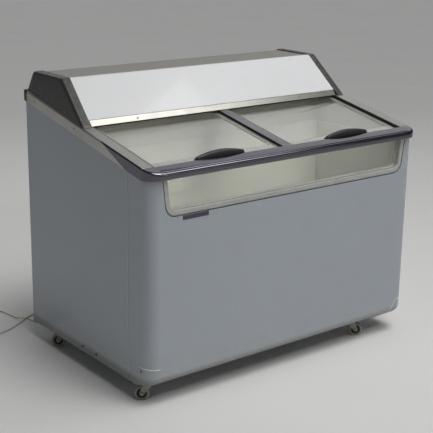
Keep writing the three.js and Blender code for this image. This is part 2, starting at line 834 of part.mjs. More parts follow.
function thermostatDial() {
  const profile = [
    [0, 0],
    [19, 0],
    [20, 2],
    [18, 9],
    [0, 9],
  ];
  const knob = lathe(profile, 24);
  const bar = box(-3, 3, -18, 18, 8, 12);
  const socket = rod("z", [0, 0, 0], 3.6, 10, 10);
  const made = cut(join(knob, bar), socket);
  return made.rotateX(-Math.PI / 2).translate(DIAL[0], 368, DIAL[1]);
}

// ---------- casters ----------
// Each caster is modelled about its swivel axis, z = 0 on the floor, wheel trailing along +X.
function casterPlate(top) {
  const plate = box(-30, 30, -30, 30, top - 2.7, top);
  const race = rod("z", [0, 0, top - 4.3], 15, 4.4, 16);
  return join(plate, race);
}

function casterFork(top) {
  const crown = top - 7.3;
  const arm = WHEEL_WIDTH / 2 + 1.5;
  const t = 2.5;
  const side = [
    [-14, crown],
    [12, crown],
    [CASTER_TRAIL + 8, WHEEL_R + 3],
    ...arc(CASTER_TRAIL, WHEEL_R, 8, 20, -160, 5),
    [-12, crown - 12],
  ].reverse();
  const cheeks = [prismY(side, arm, arm + t), prismY(side, -arm - t, -arm)];
  const head = box(-15, 14, -arm - t, arm + t, crown - 2.5, crown);
  const boss = rod("z", [0, 0, crown - 1.5], 13, 4, 16);
  const axle = rod("y", [CASTER_TRAIL, 0, WHEEL_R], 4, 2 * (arm + t) + 3, 12);
  return join(...cheeks, head, boss, axle);
}

function casterWheel() {
  const half = WHEEL_WIDTH / 2;
  const r = WHEEL_R;
  const profile = [
    [4.3, -half],
    [11, -half],
    [13, -half + 3],
    [17, -half + 3],
    [18.5, -half],
    [r - 2, -half],
    [r, -half + 3],
    [r, half - 3],
    [r - 2, half],
    [18.5, half],
    [17, half - 3],
    [13, half - 3],
    [11, half],
    [4.3, half],
    [4.3, -half],
  ];
  return lathe(profile, 24).rotateX(Math.PI / 2);
}

function addCaster(name, [x, y, turn]) {
  const top = FLOOR_DROP + 4;
  const stand = new THREE.Group();
  stand.position.set(x, y, FLOOR_Z);
  cabinet.add(stand);
  piece(stand, "caster_plate_" + name, casterPlate(top), "galvanised");
  const swivel = new THREE.Group();
  swivel.rotation.z = THREE.MathUtils.degToRad(turn);
  stand.add(swivel);
  piece(swivel, "caster_fork_" + name, casterFork(top), "galvanised");
  const wheel = piece(swivel, "caster_wheel_" + name, casterWheel(), "wheel_nylon");
  wheel.position.set(CASTER_TRAIL, 0, WHEEL_R);
}

// ---------- mains lead and earth lead ----------
const CORD_EXIT = [-430, 62];
const CORD_ROUTE = [
  [-430, 408.5, 62],
  [-430, 424, 61],
  [-429, 442, 48],
  [-428, 455, 20],
  [-427, 463, -15],
  [-426, 474, -44],
  [-427, 500, -60],
  [-434, 530, -61.8],
  [-450, 560, -61.9],
  [-476, 577, -61.9],
  [-505, 575, -61.9],
  [-535, 560, -61.9],
  [-564, 541, -61.9],
  [-610, 511, -61.9],
  [-650, 490.5, -61.9],
  [-692, 477, -61.9],
  [-727, 467.5, -61.9],
];
const EARTH_ROUTE = [
  [-505, 384.3, 40],
  [-505, 400, 40],
  [-505, 414, 33],
  [-506, 425, 8],
  [-507, 433, -25],
  [-508, 444, -52],
  [-511, 464, -62.6],
  [-517, 488, -63.9],
  [-527, 510, -63.6],
  [-541, 529, -58.5],
  [-555, 547, -55.6],
  [-565, 566, -58.5],
  [-570, 590, -63.6],
  [-573, 618, -63.9],
  [-577, 645, -63.9],
  [-585, 682, -63.9],
  [-594, 711, -63.9],
  [-599.7, 725.5, -63.9],
];

// The ring that a coil's turns fill, with the straight end that leaves it for the plug or lug.
function coilSolid(coil, diameter, tail, sides) {
  const inside = coil.radius - coil.width / 2;
  const outside = coil.radius + coil.width / 2;
  const profile = [
    [inside, 0.3],
    [outside, 0.3],
    [outside, coil.height],
    [inside, coil.height],
    [inside, 0.3],
  ];
  return join(lathe(profile, sides), tube(tail, diameter, 8, 4));
}

function cordGland() {
  const y = 384.2;
  const profile = [
    [4, 24],
    [5.4, 24],
    [7, 6],
    [12, 5],
    [12, 0],
    [8, 0],
    [8, -8],
    [4, -8],
    [4, 24],
  ];
  const made = lathe(profile.reverse(), 14);
  return made.rotateX(-Math.PI / 2).translate(CORD_EXIT[0], y, CORD_EXIT[1]);
}

function addLeads() {
  const place = (mesh, coil, dx, dy) => mesh.position.set(coil.x + dx, coil.y + dy, FLOOR_Z);
  piece(cabinet, "cord_gland", cordGland(), "black_plastic");
  piece(cabinet, "power_cord", tube(CORD_ROUTE, CORD_D, 8, 60), "cord_white");
  const cordX = -CORD_COIL.radius - CORD_COIL.width / 2 + CORD_D / 2;
  const cordTail = [
    [cordX, 8, 9.5],
    [cordX, 30, 9],
    [cordX, 46, 8.5],
  ];
  const cordCoil = coilSolid(CORD_COIL, CORD_D, cordTail, 28);
  place(piece(cabinet, "power_cord_coil", cordCoil, "cord_white"), CORD_COIL, 0, 0);
  place(piece(cabinet, "power_plug", powerPlug(), "cord_white"), CORD_COIL, cordX, 46.3 + 18);
  piece(cabinet, "earth_wire", tube(EARTH_ROUTE, EARTH_D, 8, 60), "earth_green");
  const earthX = -EARTH_COIL.radius - EARTH_COIL.width / 2 + EARTH_D / 2;
  const earthTail = [
    [earthX, -4, 11.5],
    [earthX, -20, 7],
    [earthX, -38, 2.3],
  ];
  const earthCoil = coilSolid(EARTH_COIL, EARTH_D, earthTail, 24);
  place(piece(cabinet, "earth_wire_coil", earthCoil, "earth_green"), EARTH_COIL, 0, 0);
  place(piece(cabinet, "earth_lug", earthLug(), "fin_metal"), EARTH_COIL, earthX, -38.4);
}

// Two flat pins and a moulded body, lying on the floor.
function powerPlug() {
  const body = box(-13, 13, -18, 16, 0.3, 17);
  const pins = [-6.5, 6.5].map((x) => box(x - 0.8, x + 0.8, 14, 32, 5.5, 11.5));
  return join(body, ...pins);
}

// A crimped barrel and a forked tongue that points away from the lead, along -Y.
function earthLug() {
  const barrel = rod("y", [0, -4.5, 2.4], 2, 9, 8);
  const tongue = box(-4, 4, -20, -8, 1.8, 2.8);
  const slot = box(-1.6, 1.6, -22, -13, 0, 5);
  return cut(join(barrel, tongue), slot);
}

// ---------- assembly ----------
function addShell() {
  piece(cabinet, "front_panel", frontPanel(), "white_paint");
  piece(cabinet, "left_side_panel", sidePanel(-1), "white_paint");
  piece(cabinet, "right_side_panel", sidePanel(1), "white_paint");
  piece(cabinet, "rear_panel", rearPanel(), "galvanised");
  piece(cabinet, "base_frame", baseFrame(), "galvanised");
  piece(cabinet, "foam_insulation", foam(), "foam");
  piece(cabinet, "liner_tub", liner(), "liner");
  piece(slopeFrame, "rear_deck", rearDeck(), "galvanised");
}

function addTrim() {
  piece(cabinet, "left_side_rail", sideRail(-1), "stainless");
  piece(cabinet, "right_side_rail", sideRail(1), "stainless");
  piece(cabinet, "front_rail", frontRail(), "chrome");
  piece(cabinet, "left_corner_cap", cornerCap(-1), "chrome");
  piece(cabinet, "right_corner_cap", cornerCap(1), "chrome");
  piece(cabinet, "left_rear_cap", rearCap(-1), "black_plastic");
  piece(cabinet, "right_rear_cap", rearCap(1), "black_plastic");
  piece(cabinet, "rear_rail", rearRail(), "stainless");
  piece(slopeFrame, "centre_mullion", mullion(), "aluminium");
  piece(slopeFrame, "left_lid_track", lidTrack(-1), "black_plastic");
  piece(slopeFrame, "right_lid_track", lidTrack(1), "black_plastic");
}

function addLids() {
  for (const [name, shift] of [["left", -(LID_X0 + LID_X1)], ["right", 0]]) {
    const lid = new THREE.Group();
    lid.position.x = shift;
    slopeFrame.add(lid);
    piece(lid, name + "_lid_frame", lidFrame(), "aluminium");
    piece(lid, name + "_lid_glass", lidGlass(), "glass");
    piece(lid, name + "_lid_handle", lidHandle(), "black_plastic");
  }
}

function addHood() {
  piece(cabinet, "hood_left_end", hoodEnd(-1), "hood_charcoal");
  piece(cabinet, "hood_right_end", hoodEnd(1), "hood_charcoal");
  piece(cabinet, "hood_front_panel", hoodFrontPanel(), "hood_white");
  piece(cabinet, "hood_top", hoodTop(), "hood_brown");
}

function addWindow() {
  piece(cabinet, "window_frame", windowFrame(), "cream_plastic");
  piece(cabinet, "window_outer_glass", windowPane(-376, 4), "glass");
  piece(cabinet, "window_inner_glass", windowPane(-354, 4), "glass");
}

function addCoolingUnit() {
  piece(cabinet, "evaporator_plate", evaporator(), "aluminium");
  piece(cabinet, "compressor", compressor(), "compressor_black");
  piece(cabinet, "condenser", condenser(), "fin_metal");
  piece(cabinet, "fan_shroud", fanShroud(), "galvanised");
  piece(cabinet, "condenser_fan", fan(), "black_plastic");
  piece(cabinet, "fan_motor", fanMotor(), "galvanised");
  piece(cabinet, "discharge_pipe", dischargePipe(), "copper");
  piece(cabinet, "electrical_box", electricalBox(), "black_plastic");
  piece(cabinet, "thermostat_knob", thermostatDial(), "cream_plastic");
}

addShell();
addTrim();
addLids();
addHood();
addWindow();
addCoolingUnit();
for (const [name, place] of Object.entries(CASTERS)) addCaster(name, place);
addLeads();

export default freezer;
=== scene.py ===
"""A display chest freezer with its finishes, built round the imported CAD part."""
import json
import math

import bmesh
import bpy
from mathutils import Matrix, Vector


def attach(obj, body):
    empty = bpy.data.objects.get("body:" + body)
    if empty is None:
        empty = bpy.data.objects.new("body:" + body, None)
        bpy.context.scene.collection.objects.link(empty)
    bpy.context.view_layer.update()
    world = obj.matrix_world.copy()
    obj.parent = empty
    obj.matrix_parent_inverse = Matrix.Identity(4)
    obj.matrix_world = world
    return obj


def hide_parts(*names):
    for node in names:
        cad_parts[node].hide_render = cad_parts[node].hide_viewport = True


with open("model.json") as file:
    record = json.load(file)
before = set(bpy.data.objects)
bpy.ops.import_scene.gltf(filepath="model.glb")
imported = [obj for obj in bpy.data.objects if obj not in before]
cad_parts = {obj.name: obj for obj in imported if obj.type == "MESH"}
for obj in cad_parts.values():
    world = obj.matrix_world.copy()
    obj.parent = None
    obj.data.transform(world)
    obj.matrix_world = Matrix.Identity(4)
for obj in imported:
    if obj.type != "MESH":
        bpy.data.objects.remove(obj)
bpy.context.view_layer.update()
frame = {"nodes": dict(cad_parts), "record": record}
# ---------- driving dimensions, in millimetres, as in the CAD ----------
SHIFT_Y = 3.5  # from the cabinet's frame to the part's frame
FLOOR_DROP = 66.0
FRONT_TOP, REAR_TOP, DEPTH = 729.4, 875.2, 769.0
HALF_X, HALF_Y = 600.0, DEPTH / 2
SHEET = 1.5
CORNER_R = 45.0
SEAM_Y = -268.0
NOSE_Y, NOSE_R, LIP_R = -400.0, 12.0, 5.0  # the front rail's nose, and its lower lip
RAIL_LOW, RAIL_BACK_Y = 700.5, -350.3
CAP_X, CAP_Y = 552.0, -352.0  # the centre that a corner cap turns round
# The side rails' polished wedge is tinted the darkened chrome: a painted dark reflection.
POLISH_REFLECTION_Y, CAP_LEG_Y = -111.0, -258.0  # where the side rails' polish starts, at their top and foot
REAR_Y0, REAR_Y1, REAR_FACE = 382.4, 383.9, 384.0  # the rear sheet and the louvres' root
RAIL_DROP = 39.0
LID_X0, LID_X1 = 19.0, 553.2
LID_TOP, LID_EDGE, LID_GRIP = -11.0, 20.0, 45.0
HANDLE_LENGTH, HANDLE_DEPTH, HANDLE_HEIGHT = 200.0, 36.0, 29.0
HOOD_INNER, HOOD_OUTER, HOOD_LEAN, HOOD_SEAT = 563.0, 597.0, 0.105, 822.2
HOOD_TOP, HOOD_FRONT_Y, HOOD_BACK_Y = 946.0, 156.0, 352.0
HOOD_COT = (155 - 17.5) / (944 - HOOD_SEAT)
WINDOW_FOOT_X, WINDOW_HEAD_X, WINDOW_LOW, WINDOW_HIGH, WINDOW_R = 533, 545, 577, 709.5, 38
WHEEL_R, WHEEL_WIDTH, CASTER_TRAIL = 25.0, 20.0, 18.0
CASTERS = {
    "front_left": (-553, -309, 142),
    "front_right": (392, -309, -38),
    "rear_left": (-553, 240, 142),
    "rear_right": (392, 240, 142),
}
PANEL_X = HALF_X - SHEET
RISE = (REAR_TOP - FRONT_TOP) / DEPTH
SLOPE = math.atan(RISE)
COS, SIN = math.cos(SLOPE), math.sin(SLOPE)
MID_TOP = (FRONT_TOP + REAR_TOP) / 2
LID_V0 = (-348.5 + LID_TOP * SIN) / COS
LID_V1 = (97 + LID_TOP * SIN) / COS
SEAL_V0, SEAL_V1 = -346 / COS, 12
SEAL_X, MULLION_SEAL_X = 552.2, 19.6


def row(p):
    """A point in the cabinet's frame, in mm, as a point in the part's frame, in metres."""
    return Vector((p[0], p[1] + SHIFT_Y, p[2] + FLOOR_DROP)) / 1000


def tilt(p):
    """A point of the sloping frame, whose xy plane is the top of the rails, in the part's frame."""
    x, v, w = p
    return row((x, v * COS - w * SIN, MID_TOP + v * SIN + w * COS))


def top_at(y):
    return MID_TOP + RISE * y


# ---------- camera ----------
CAMERA_PLACE = (-2376.43, -2980.75, 1519.57)
CAMERA_YAW, CAMERA_PITCH, CAMERA_ROLL = 0.667, 0.286, 0.016
LENS_MM = 88.4892


def add_camera():
    yaw, pitch, roll = CAMERA_YAW, CAMERA_PITCH, CAMERA_ROLL
    ahead = Vector((math.sin(yaw) * math.cos(pitch), math.cos(yaw) * math.cos(pitch), -math.sin(pitch)))
    level = Vector((math.cos(yaw), -math.sin(yaw), 0))
    above = level.cross(ahead)
    right = level * math.cos(roll) + above * math.sin(roll)
    up = above * math.cos(roll) - level * math.sin(roll)
    camera = bpy.data.objects.new("camera", bpy.data.cameras.new("camera"))
    camera.matrix_world = Matrix.Translation(row(CAMERA_PLACE)) @ Matrix(
        (right, up, -ahead)).transposed().to_4x4()
    camera.data.lens = LENS_MM
    camera.data.clip_end = 50
    bpy.context.scene.collection.objects.link(camera)
    bpy.context.scene.camera = camera


# ---------- materials ----------
class Finish:
    """A node material, built up in steps around one Principled shader."""

    def __init__(self, name, color, rough, metal=0.0):
        self.material = bpy.data.materials.new(name)
        self.material.use_nodes = True
        self.tree = self.material.node_tree
        self.shader = self.tree.nodes["Principled BSDF"]
        self.shader.inputs["Metallic"].default_value = metal
        self.coords = self.add("ShaderNodeTexCoord").outputs["Object"]
        rgb = self.add("ShaderNodeRGB")
        rgb.outputs[0].default_value = (*color, 1)
        self.color = rgb.outputs[0]
        value = self.add("ShaderNodeValue")
        value.outputs[0].default_value = rough
        self.rough = value.outputs[0]
        self.height = None

    def add(self, kind, **inputs):
        node = self.tree.nodes.new(kind)
        for key, value in inputs.items():
            node.inputs[key.replace("_", " ")].default_value = value
        return node

    def link(self, a, b):
        self.tree.links.new(a, b)

    def noise(self, scale, stretch=(1, 1, 1), detail=3.0, contrast=(0.0, 1.0), seed=0.0):
        """Noise of that many features a metre, squeezed between the two contrast values."""
        place = self.add("ShaderNodeMapping")
        place.inputs["Scale"].default_value = stretch
        place.inputs["Location"].default_value = (seed, seed * 0.7, seed * 1.3)
        self.link(self.coords, place.inputs["Vector"])
        noise = self.add("ShaderNodeTexNoise", Scale=scale, Detail=detail)
        self.link(place.outputs[0], noise.inputs["Vector"])
        return self.ramp(noise.outputs["Fac"], *contrast)

    def ramp(self, source, low, high, to_low=0.0, to_high=1.0):
        spread = self.add("ShaderNodeMapRange")
        for i, value in ((1, low), (2, high), (3, to_low), (4, to_high)):
            spread.inputs[i].default_value = value
        self.link(source, spread.inputs[0])
        return spread.outputs[0]

    def math(self, kind, a, b):
        node = self.add("ShaderNodeMath")
        node.operation = kind
        for socket, value in zip(node.inputs, (a, b)):
            if isinstance(value, (int, float)):
                socket.default_value = value
            else:
                self.link(value, socket)
        return node.outputs[0]

    def axis(self, letter, low, high):
        """0 to 1 as a coordinate of the part's frame goes from low to high."""
        split = self.add("ShaderNodeSeparateXYZ")
        self.link(self.coords, split.inputs[0])
        return self.ramp(split.outputs[letter], low, high)

    def edges(self, low=0.52, high=0.6):
        """1 along convex edges, 0 on flats."""
        return self.ramp(self.add("ShaderNodeNewGeometry").outputs["Pointiness"], low, high)

    def tint(self, amount, color):
        mix = self.add("ShaderNodeMix")
        mix.data_type = "RGBA"
        self.link(amount, mix.inputs[0])
        self.link(self.color, mix.inputs[6])
        mix.inputs[7].default_value = (*color, 1)
        self.color = mix.outputs[2]
        return self

    def dull(self, amount, by):
        """Adds "by" to the roughness where amount is 1."""
        self.rough = self.math("ADD", self.rough, self.math("MULTIPLY", amount, by))
        return self

    def bump(self, source, depth):
        """Raises the surface by depth metres where source is 1."""
        scaled = self.math("MULTIPLY", source, depth)
        self.height = scaled if self.height is None else self.math("ADD", self.height, scaled)
        return self

    def set(self, **sockets):
        for key, value in sockets.items():
            self.shader.inputs[key.replace("_", " ")].default_value = value
        return self

    def done(self):
        self.link(self.color, self.shader.inputs["Base Color"])
        self.link(self.rough, self.shader.inputs["Roughness"])
        if self.height is not None:
            bump = self.add("ShaderNodeBump", Strength=1.0, Distance=1.0)
            self.link(self.height, bump.inputs["Height"])
            self.link(bump.outputs[0], self.shader.inputs["Normal"])
        return self.material


def enamel(name, color, rough=0.22, chips=False):
    f = Finish(name, color, rough)
    f.tint(f.noise(2.0, contrast=(0.3, 0.8)), tuple(c * 0.96 for c in color))
    f.tint(f.math("MULTIPLY", f.noise(11.0, detail=5.0, contrast=(0.45, 0.85), seed=3), 0.4),
           (color[0] * 0.93, color[1] * 0.92, color[2] * 0.89))
    scuffs = f.noise(16.0, (1, 1, 7), 7.0, (0.66, 0.8), 7)
    f.tint(f.math("MULTIPLY", scuffs, 0.16), (color[0] * 0.72, color[1] * 0.71, color[2] * 0.68))
    # Darker towards the bottom, in blotches.
    low_blotches = f.math("MULTIPLY", f.axis("Z", 0.2, 0.07), f.noise(22.0, contrast=(0.35, 0.8), seed=5))
    f.tint(f.math("MULTIPLY", low_blotches, 0.4), (0.33, 0.31, 0.27))
    # Painted shade and painted reflection of a dark floor: a dark band along the curled lower edge of every
    # enamel.
    painted_hem_shade = f.math("MULTIPLY", f.axis("Z", 0.104, 0.082), f.noise(9.0, contrast=(0.0, 0.35), seed=11))
    f.tint(f.math("MULTIPLY", painted_hem_shade, 0.8), (0.13, 0.137, 0.122))
    if chips:
        near = f.math("MULTIPLY", f.axis("X", -0.5, -0.57), f.axis("Z", 0.17, 0.09))
        spots = f.math("MULTIPLY", near, f.noise(85.0, detail=2.0, contrast=(0.66, 0.68), seed=2))
        f.tint(spots, (0.16, 0.13, 0.1)).dull(spots, 0.3)
    f.dull(f.noise(30.0, contrast=(0.3, 0.8), seed=9), 0.05).dull(scuffs, 0.06)
    f.bump(f.noise(320.0, detail=1.0), 0.000006)
    return f.set(Coat_Weight=0.3, Coat_Roughness=0.06).done()


def brushed(name, color, rough, grain="X", depth=0.000004, spots=(0.2, 0.18, 0.15), streaks=0.5):
    """Brushed or polished metal whose grain runs along one axis, still open to more steps."""
    f = Finish(name, color, rough, 1.0)
    stretch = {"X": (0.02, 1, 1), "Y": (1, 0.02, 1), "Z": (1, 1, 0.02)}[grain]
    hair = f.noise(700.0, stretch, 2.0, (0.3, 0.7))
    f.tint(f.math("MULTIPLY", hair, streaks * 0.5), tuple(c * 0.8 for c in color))
    f.tint(f.math("MULTIPLY", f.noise(7.0, contrast=(0.45, 0.8), seed=4), 0.4), tuple(c * 0.7 for c in color))
    pits = f.noise(160.0, detail=2.0, contrast=(0.7, 0.78), seed=6)
    f.tint(f.math("MULTIPLY", pits, 0.6), spots)
    f.dull(hair, 0.16 * streaks).dull(f.noise(18.0, contrast=(0.35, 0.8), seed=8), 0.12).dull(pits, 0.3)
    return f.bump(hair, depth)


def metal(*look, **more):
    return brushed(*look, **more).done()


# Chrome's colour, kept far darker than real chrome: a painted dark reflection of the room, set against the
# pale floor.
DARKENED_CHROME = (0.16, 0.156, 0.18)


def side_trim():
    """Satin metal whose outer face turns into the front rail's polish along a slanting line, tinted the
    darkened chrome there as a painted dark reflection.
    """
    f = brushed("trim", (0.56, 0.55, 0.51), 0.36, "Y", streaks=0.4)
    split = f.add("ShaderNodeSeparateXYZ")
    f.link(f.coords, split.inputs[0])
    slant = RISE + RAIL_DROP / (POLISH_REFLECTION_Y - CAP_LEG_Y)
    start = row((0, POLISH_REFLECTION_Y, top_at(POLISH_REFLECTION_Y)))
    level = start.z - slant * start.y
    ahead = f.ramp(f.math("ADD", split.outputs["Z"], f.math("MULTIPLY", split.outputs["Y"], -slant)),
                   level - 0.0006, level + 0.0006)
    flank = HALF_X / 1000 - 0.004
    outside = f.ramp(f.math("ABSOLUTE", split.outputs["X"], 0.0), flank - 0.0005, flank + 0.0005)
    # The wedge takes the darkened chrome colour, a painted dark reflection, along with a real lower
    # roughness.
    polish_and_dark_reflection = f.math("MULTIPLY", ahead, outside)
    f.tint(polish_and_dark_reflection, DARKENED_CHROME)
    f.rough = f.math("MULTIPLY", f.rough, f.ramp(polish_and_dark_reflection, 0, 1, 1.0, 0.15))
    return f.done()


def moulded(name, color, rough=0.5, grain=500.0, depth=0.00003, worn=None, coat=0.0):
    """Moulded plastic or rubber with a fine grain, lighter where edges have rubbed."""
    f = Finish(name, color, rough)
    f.tint(f.noise(6.0, contrast=(0.35, 0.8)), tuple(c * 0.9 for c in color))
    f.tint(f.math("MULTIPLY", f.noise(60.0, detail=4.0, contrast=(0.5, 0.8), seed=2), 0.2),
           tuple(min(1, c * 1.2 + 0.004) for c in color))
    if worn:
        rub = f.math("MULTIPLY", f.edges(), f.noise(45.0, contrast=(0.4, 0.6), seed=3))
        f.tint(rub, worn).dull(rub, -0.1)
    f.dull(f.noise(25.0, contrast=(0.3, 0.8), seed=5), 0.08)
    f.bump(f.noise(grain, detail=2.0), depth)
    return f.set(Coat_Weight=coat, Coat_Roughness=0.15).done()


def glass(name, tint, smear=0.035):
    """Clear glass with faint smears, which lets lamps through to what is behind it."""
    f = Finish(name, tint, 0.01)
    f.set(Transmission_Weight=1.0, IOR=1.48)
    f.dull(f.noise(5.0, (1, 3, 1), 5.0, (0.45, 0.8)), smear)
    material = f.done()
    clear = f.add("ShaderNodeBsdfTransparent", Color=(*tint, 1))
    mix = f.add("ShaderNodeMixShader")
    f.link(f.add("ShaderNodeLightPath").outputs["Is Shadow Ray"], mix.inputs[0])
    f.link(f.shader.outputs[0], mix.inputs[1])
    f.link(clear.outputs[0], mix.inputs[2])
    f.link(mix.outputs[0], f.tree.nodes["Material Output"].inputs["Surface"])
    return material


def foam_finish():
    f = Finish("foam", (0.75, 0.66, 0.38), 0.95)
    cells = f.noise(900.0, detail=2.0, contrast=(0.35, 0.65))
    f.tint(cells, (0.6, 0.5, 0.26)).bump(cells, 0.0002)
    return f.done()


FINISHES = {
    "enamel": enamel("enamel", (0.37, 0.402, 0.438), 0.18, chips=True),
    "hood_white": enamel("hood_white", (0.73, 0.73, 0.735), 0.3),
    "hood_brown": enamel("hood_brown", (0.27, 0.255, 0.225), 0.38),
    "charcoal": moulded("charcoal", (0.04, 0.037, 0.034), 0.4, 900.0, 0.00002, (0.1, 0.095, 0.09), 0.35),
    "trim": side_trim(),
    "chrome": metal("chrome", DARKENED_CHROME, 0.05, "X", 0.000001, streaks=0.2),
    "strip": metal("strip", (0.36, 0.355, 0.32), 0.26, "X", 0.000002, streaks=0.3),
    "lid_metal": metal("lid_metal", (0.74, 0.73, 0.68), 0.44, "Y", streaks=0.3),
    "aluminium": metal("aluminium", (0.72, 0.73, 0.75), 0.4, "Y", streaks=0.3),
    "galvanised": metal("galvanised", (0.5, 0.51, 0.52), 0.45, "X", 0.00001, streaks=0.3),
    "fin": metal("fin", (0.7, 0.71, 0.72), 0.35, "Z"),
    "copper": metal("copper", (0.62, 0.3, 0.17), 0.3, "X"),
    # Steel for the caster forks, darkened as painted shade for the shadow under the cabinet.
    "shaded_caster_steel": metal("shaded_caster_steel", (0.26, 0.255, 0.25), 0.45, "Z", 0.00001),
    "screw": metal("screw", (0.32, 0.31, 0.29), 0.35, "Z", spots=(0.06, 0.05, 0.04)),
    "black": moulded("black", (0.012, 0.012, 0.014), 0.38, worn=(0.09, 0.09, 0.1)),
    "gasket": moulded("gasket", (0.01, 0.01, 0.01), 0.7, 300.0),
    "grey_rubber": moulded("grey_rubber", (0.2, 0.2, 0.175), 0.6, 300.0),
    "liner": moulded("liner", (0.6, 0.59, 0.515), 0.33, 120.0, 0.00002, coat=0.2),
    "bezel": moulded("bezel", (0.4, 0.405, 0.37), 0.4, 700.0, 0.00002, (0.6, 0.59, 0.54), 0.2),
    "foam": foam_finish(),
    "motor_black": enamel("motor_black", (0.02, 0.02, 0.022), 0.35),
    "nylon": moulded("nylon", (0.3, 0.27, 0.19), 0.5, 350.0, 0.00004, (0.42, 0.39, 0.3)),
    "hub": moulded("hub", (0.03, 0.028, 0.025), 0.5),
    "sheath": moulded("sheath", (0.66, 0.65, 0.6), 0.42, 250.0, 0.00002),
    "earth": moulded("earth", (0.36, 0.42, 0.1), 0.4, 250.0, 0.00002),
    "badge": moulded("badge", (0.01, 0.015, 0.035), 0.18, 900.0, 0.000002, coat=0.8),
    "glass": glass("glass", (0.975, 0.985, 0.98)),
}


# ---------- mesh helpers ----------
def finish_mesh(bm, name, material, body="cabinet", stands_for=(), bevel=0.0, sharp=32):
    """Turns a bmesh in the part's frame into a piece that rides on a body. bevel is in mm."""
    mesh = bpy.data.meshes.new(name)
    bmesh.ops.recalc_face_normals(bm, faces=bm.faces)
    bm.to_mesh(mesh)
    bm.free()
    for polygon in mesh.polygons:
        polygon.use_smooth = True
    mesh.set_sharp_from_angle(angle=math.radians(sharp))
    mesh.materials.append(FINISHES[material])
    piece = bpy.data.objects.new(name, mesh)
    bpy.context.scene.collection.objects.link(piece)
    if bevel:
        round_off = piece.modifiers.new("edges", "BEVEL")
        round_off.width = bevel / 1000
        round_off.segments = 2
        round_off.limit_method = "ANGLE"
        round_off.angle_limit = math.radians(sharp)
        round_off.miter_outer = "MITER_ARC"
    even = piece.modifiers.new("normals", "WEIGHTED_NORMAL")
    even.keep_sharp = True
    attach(piece, body)
    if stands_for:
        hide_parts(*stands_for)
    return piece


def cleaned(node):
    """A CAD node's mesh with its flat faces whole again."""
    bm = bmesh.new()
    bm.from_mesh(frame["nodes"][node].data)
    bmesh.ops.remove_doubles(bm, verts=bm.verts, dist=0.00002)
    bmesh.ops.dissolve_limit(bm, angle_limit=math.radians(0.6), verts=bm.verts, edges=bm.edges)
    return bm


BODY_OF = {n: b for b, names in frame["record"]["behaviour"]["bodies"].items() for n in names}


def dress(node, material, bevel=0.4, sharp=32):
    """A finer copy of a CAD node, with rounded edges."""
    return finish_mesh(cleaned(node), node + "_fine", material, BODY_OF[node], [node], bevel, sharp)


def loft(rings, place=row):
    """A closed bmesh through rings of points, each ring with the same number of points."""
    bm = bmesh.new()
    verts = [[bm.verts.new(place(p)) for p in ring] for ring in rings]
    count = len(rings[0])
    for a, b in zip(verts, verts[1:]):
        for i in range(count):
            j = (i + 1) % count
            bm.faces.new((a[i], a[j], b[j], b[i]))
    bm.faces.new(verts[0][::-1])
    bm.faces.new(verts[-1])
    return bm


def block(x0, x1, y0, y1, z0, z1, place=row):
    lower = [(x0, y0, z0), (x1, y0, z0), (x1, y1, z0), (x0, y1, z0)]
    return loft([lower, [(x, y, z1) for x, y, _ in lower]], place)


def hoop(loops, place=row):
    """A bmesh through loops of points, the last joined to the first."""
    bm = bmesh.new()
    verts = [[bm.verts.new(place(p)) for p in loop] for loop in loops]
    for one, two in zip(verts, verts[1:] + verts[:1]):
        for i in range(len(one)):
            j = (i + 1) % len(one)
            bm.faces.new((one[i], one[j], two[j], two[i]))
    return bm


def merged(parts):
    """Several bmeshes as one."""
    whole = bmesh.new()
    for part in parts:
        mesh = bpy.data.meshes.new("part")
        part.to_mesh(mesh)
        part.free()
        whole.from_mesh(mesh)
        bpy.data.meshes.remove(mesh)
    return whole


def arc(cx, cy, r, start, end, steps):
    angles = [math.radians(start + (end - start) * i / steps) for i in range(steps + 1)]
    return [(cx + r * math.cos(a), cy + r * math.sin(a)) for a in angles]


def turned(profile, centre, along, sides=24, place=row):
    """A lathed body. profile is (radius, distance along the axis); a radius of 0 closes an end."""
    along = Vector(along).normalized()
    across = along.orthogonal().normalized()
    third = along.cross(across)
    rings = []
    for r, t in profile:
        ring = []
        for i in range(sides):
            a = 2 * math.pi * i / sides
            spoke = across * math.cos(a) + third * math.sin(a)
            ring.append(Vector(centre) + along * t + spoke * max(r, 1e-3))
        rings.append(ring)
    bm = loft(rings, place)
    bmesh.ops.remove_doubles(bm, verts=bm.verts, dist=0.000005)
    return bm


def subtract(bm, cutter):
    """bm without the cutter, as a new bmesh."""
    objects = []
    for part in (bm, cutter):
        bmesh.ops.recalc_face_normals(part, faces=part.faces)
        mesh = bpy.data.meshes.new("boolean")
        part.to_mesh(mesh)
        part.free()
        objects.append(bpy.data.objects.new("boolean", mesh))
        bpy.context.scene.collection.objects.link(objects[-1])
    knife = objects[0].modifiers.new("cut", "BOOLEAN")
    knife.object, knife.solver = objects[1], "EXACT"
    made = bpy.data.meshes.new_from_object(objects[0].evaluated_get(bpy.context.evaluated_depsgraph_get()))
    result = bmesh.new()
    result.from_mesh(made)
    for o in objects:
        bpy.data.objects.remove(o)
    bpy.data.meshes.remove(made)
    return result


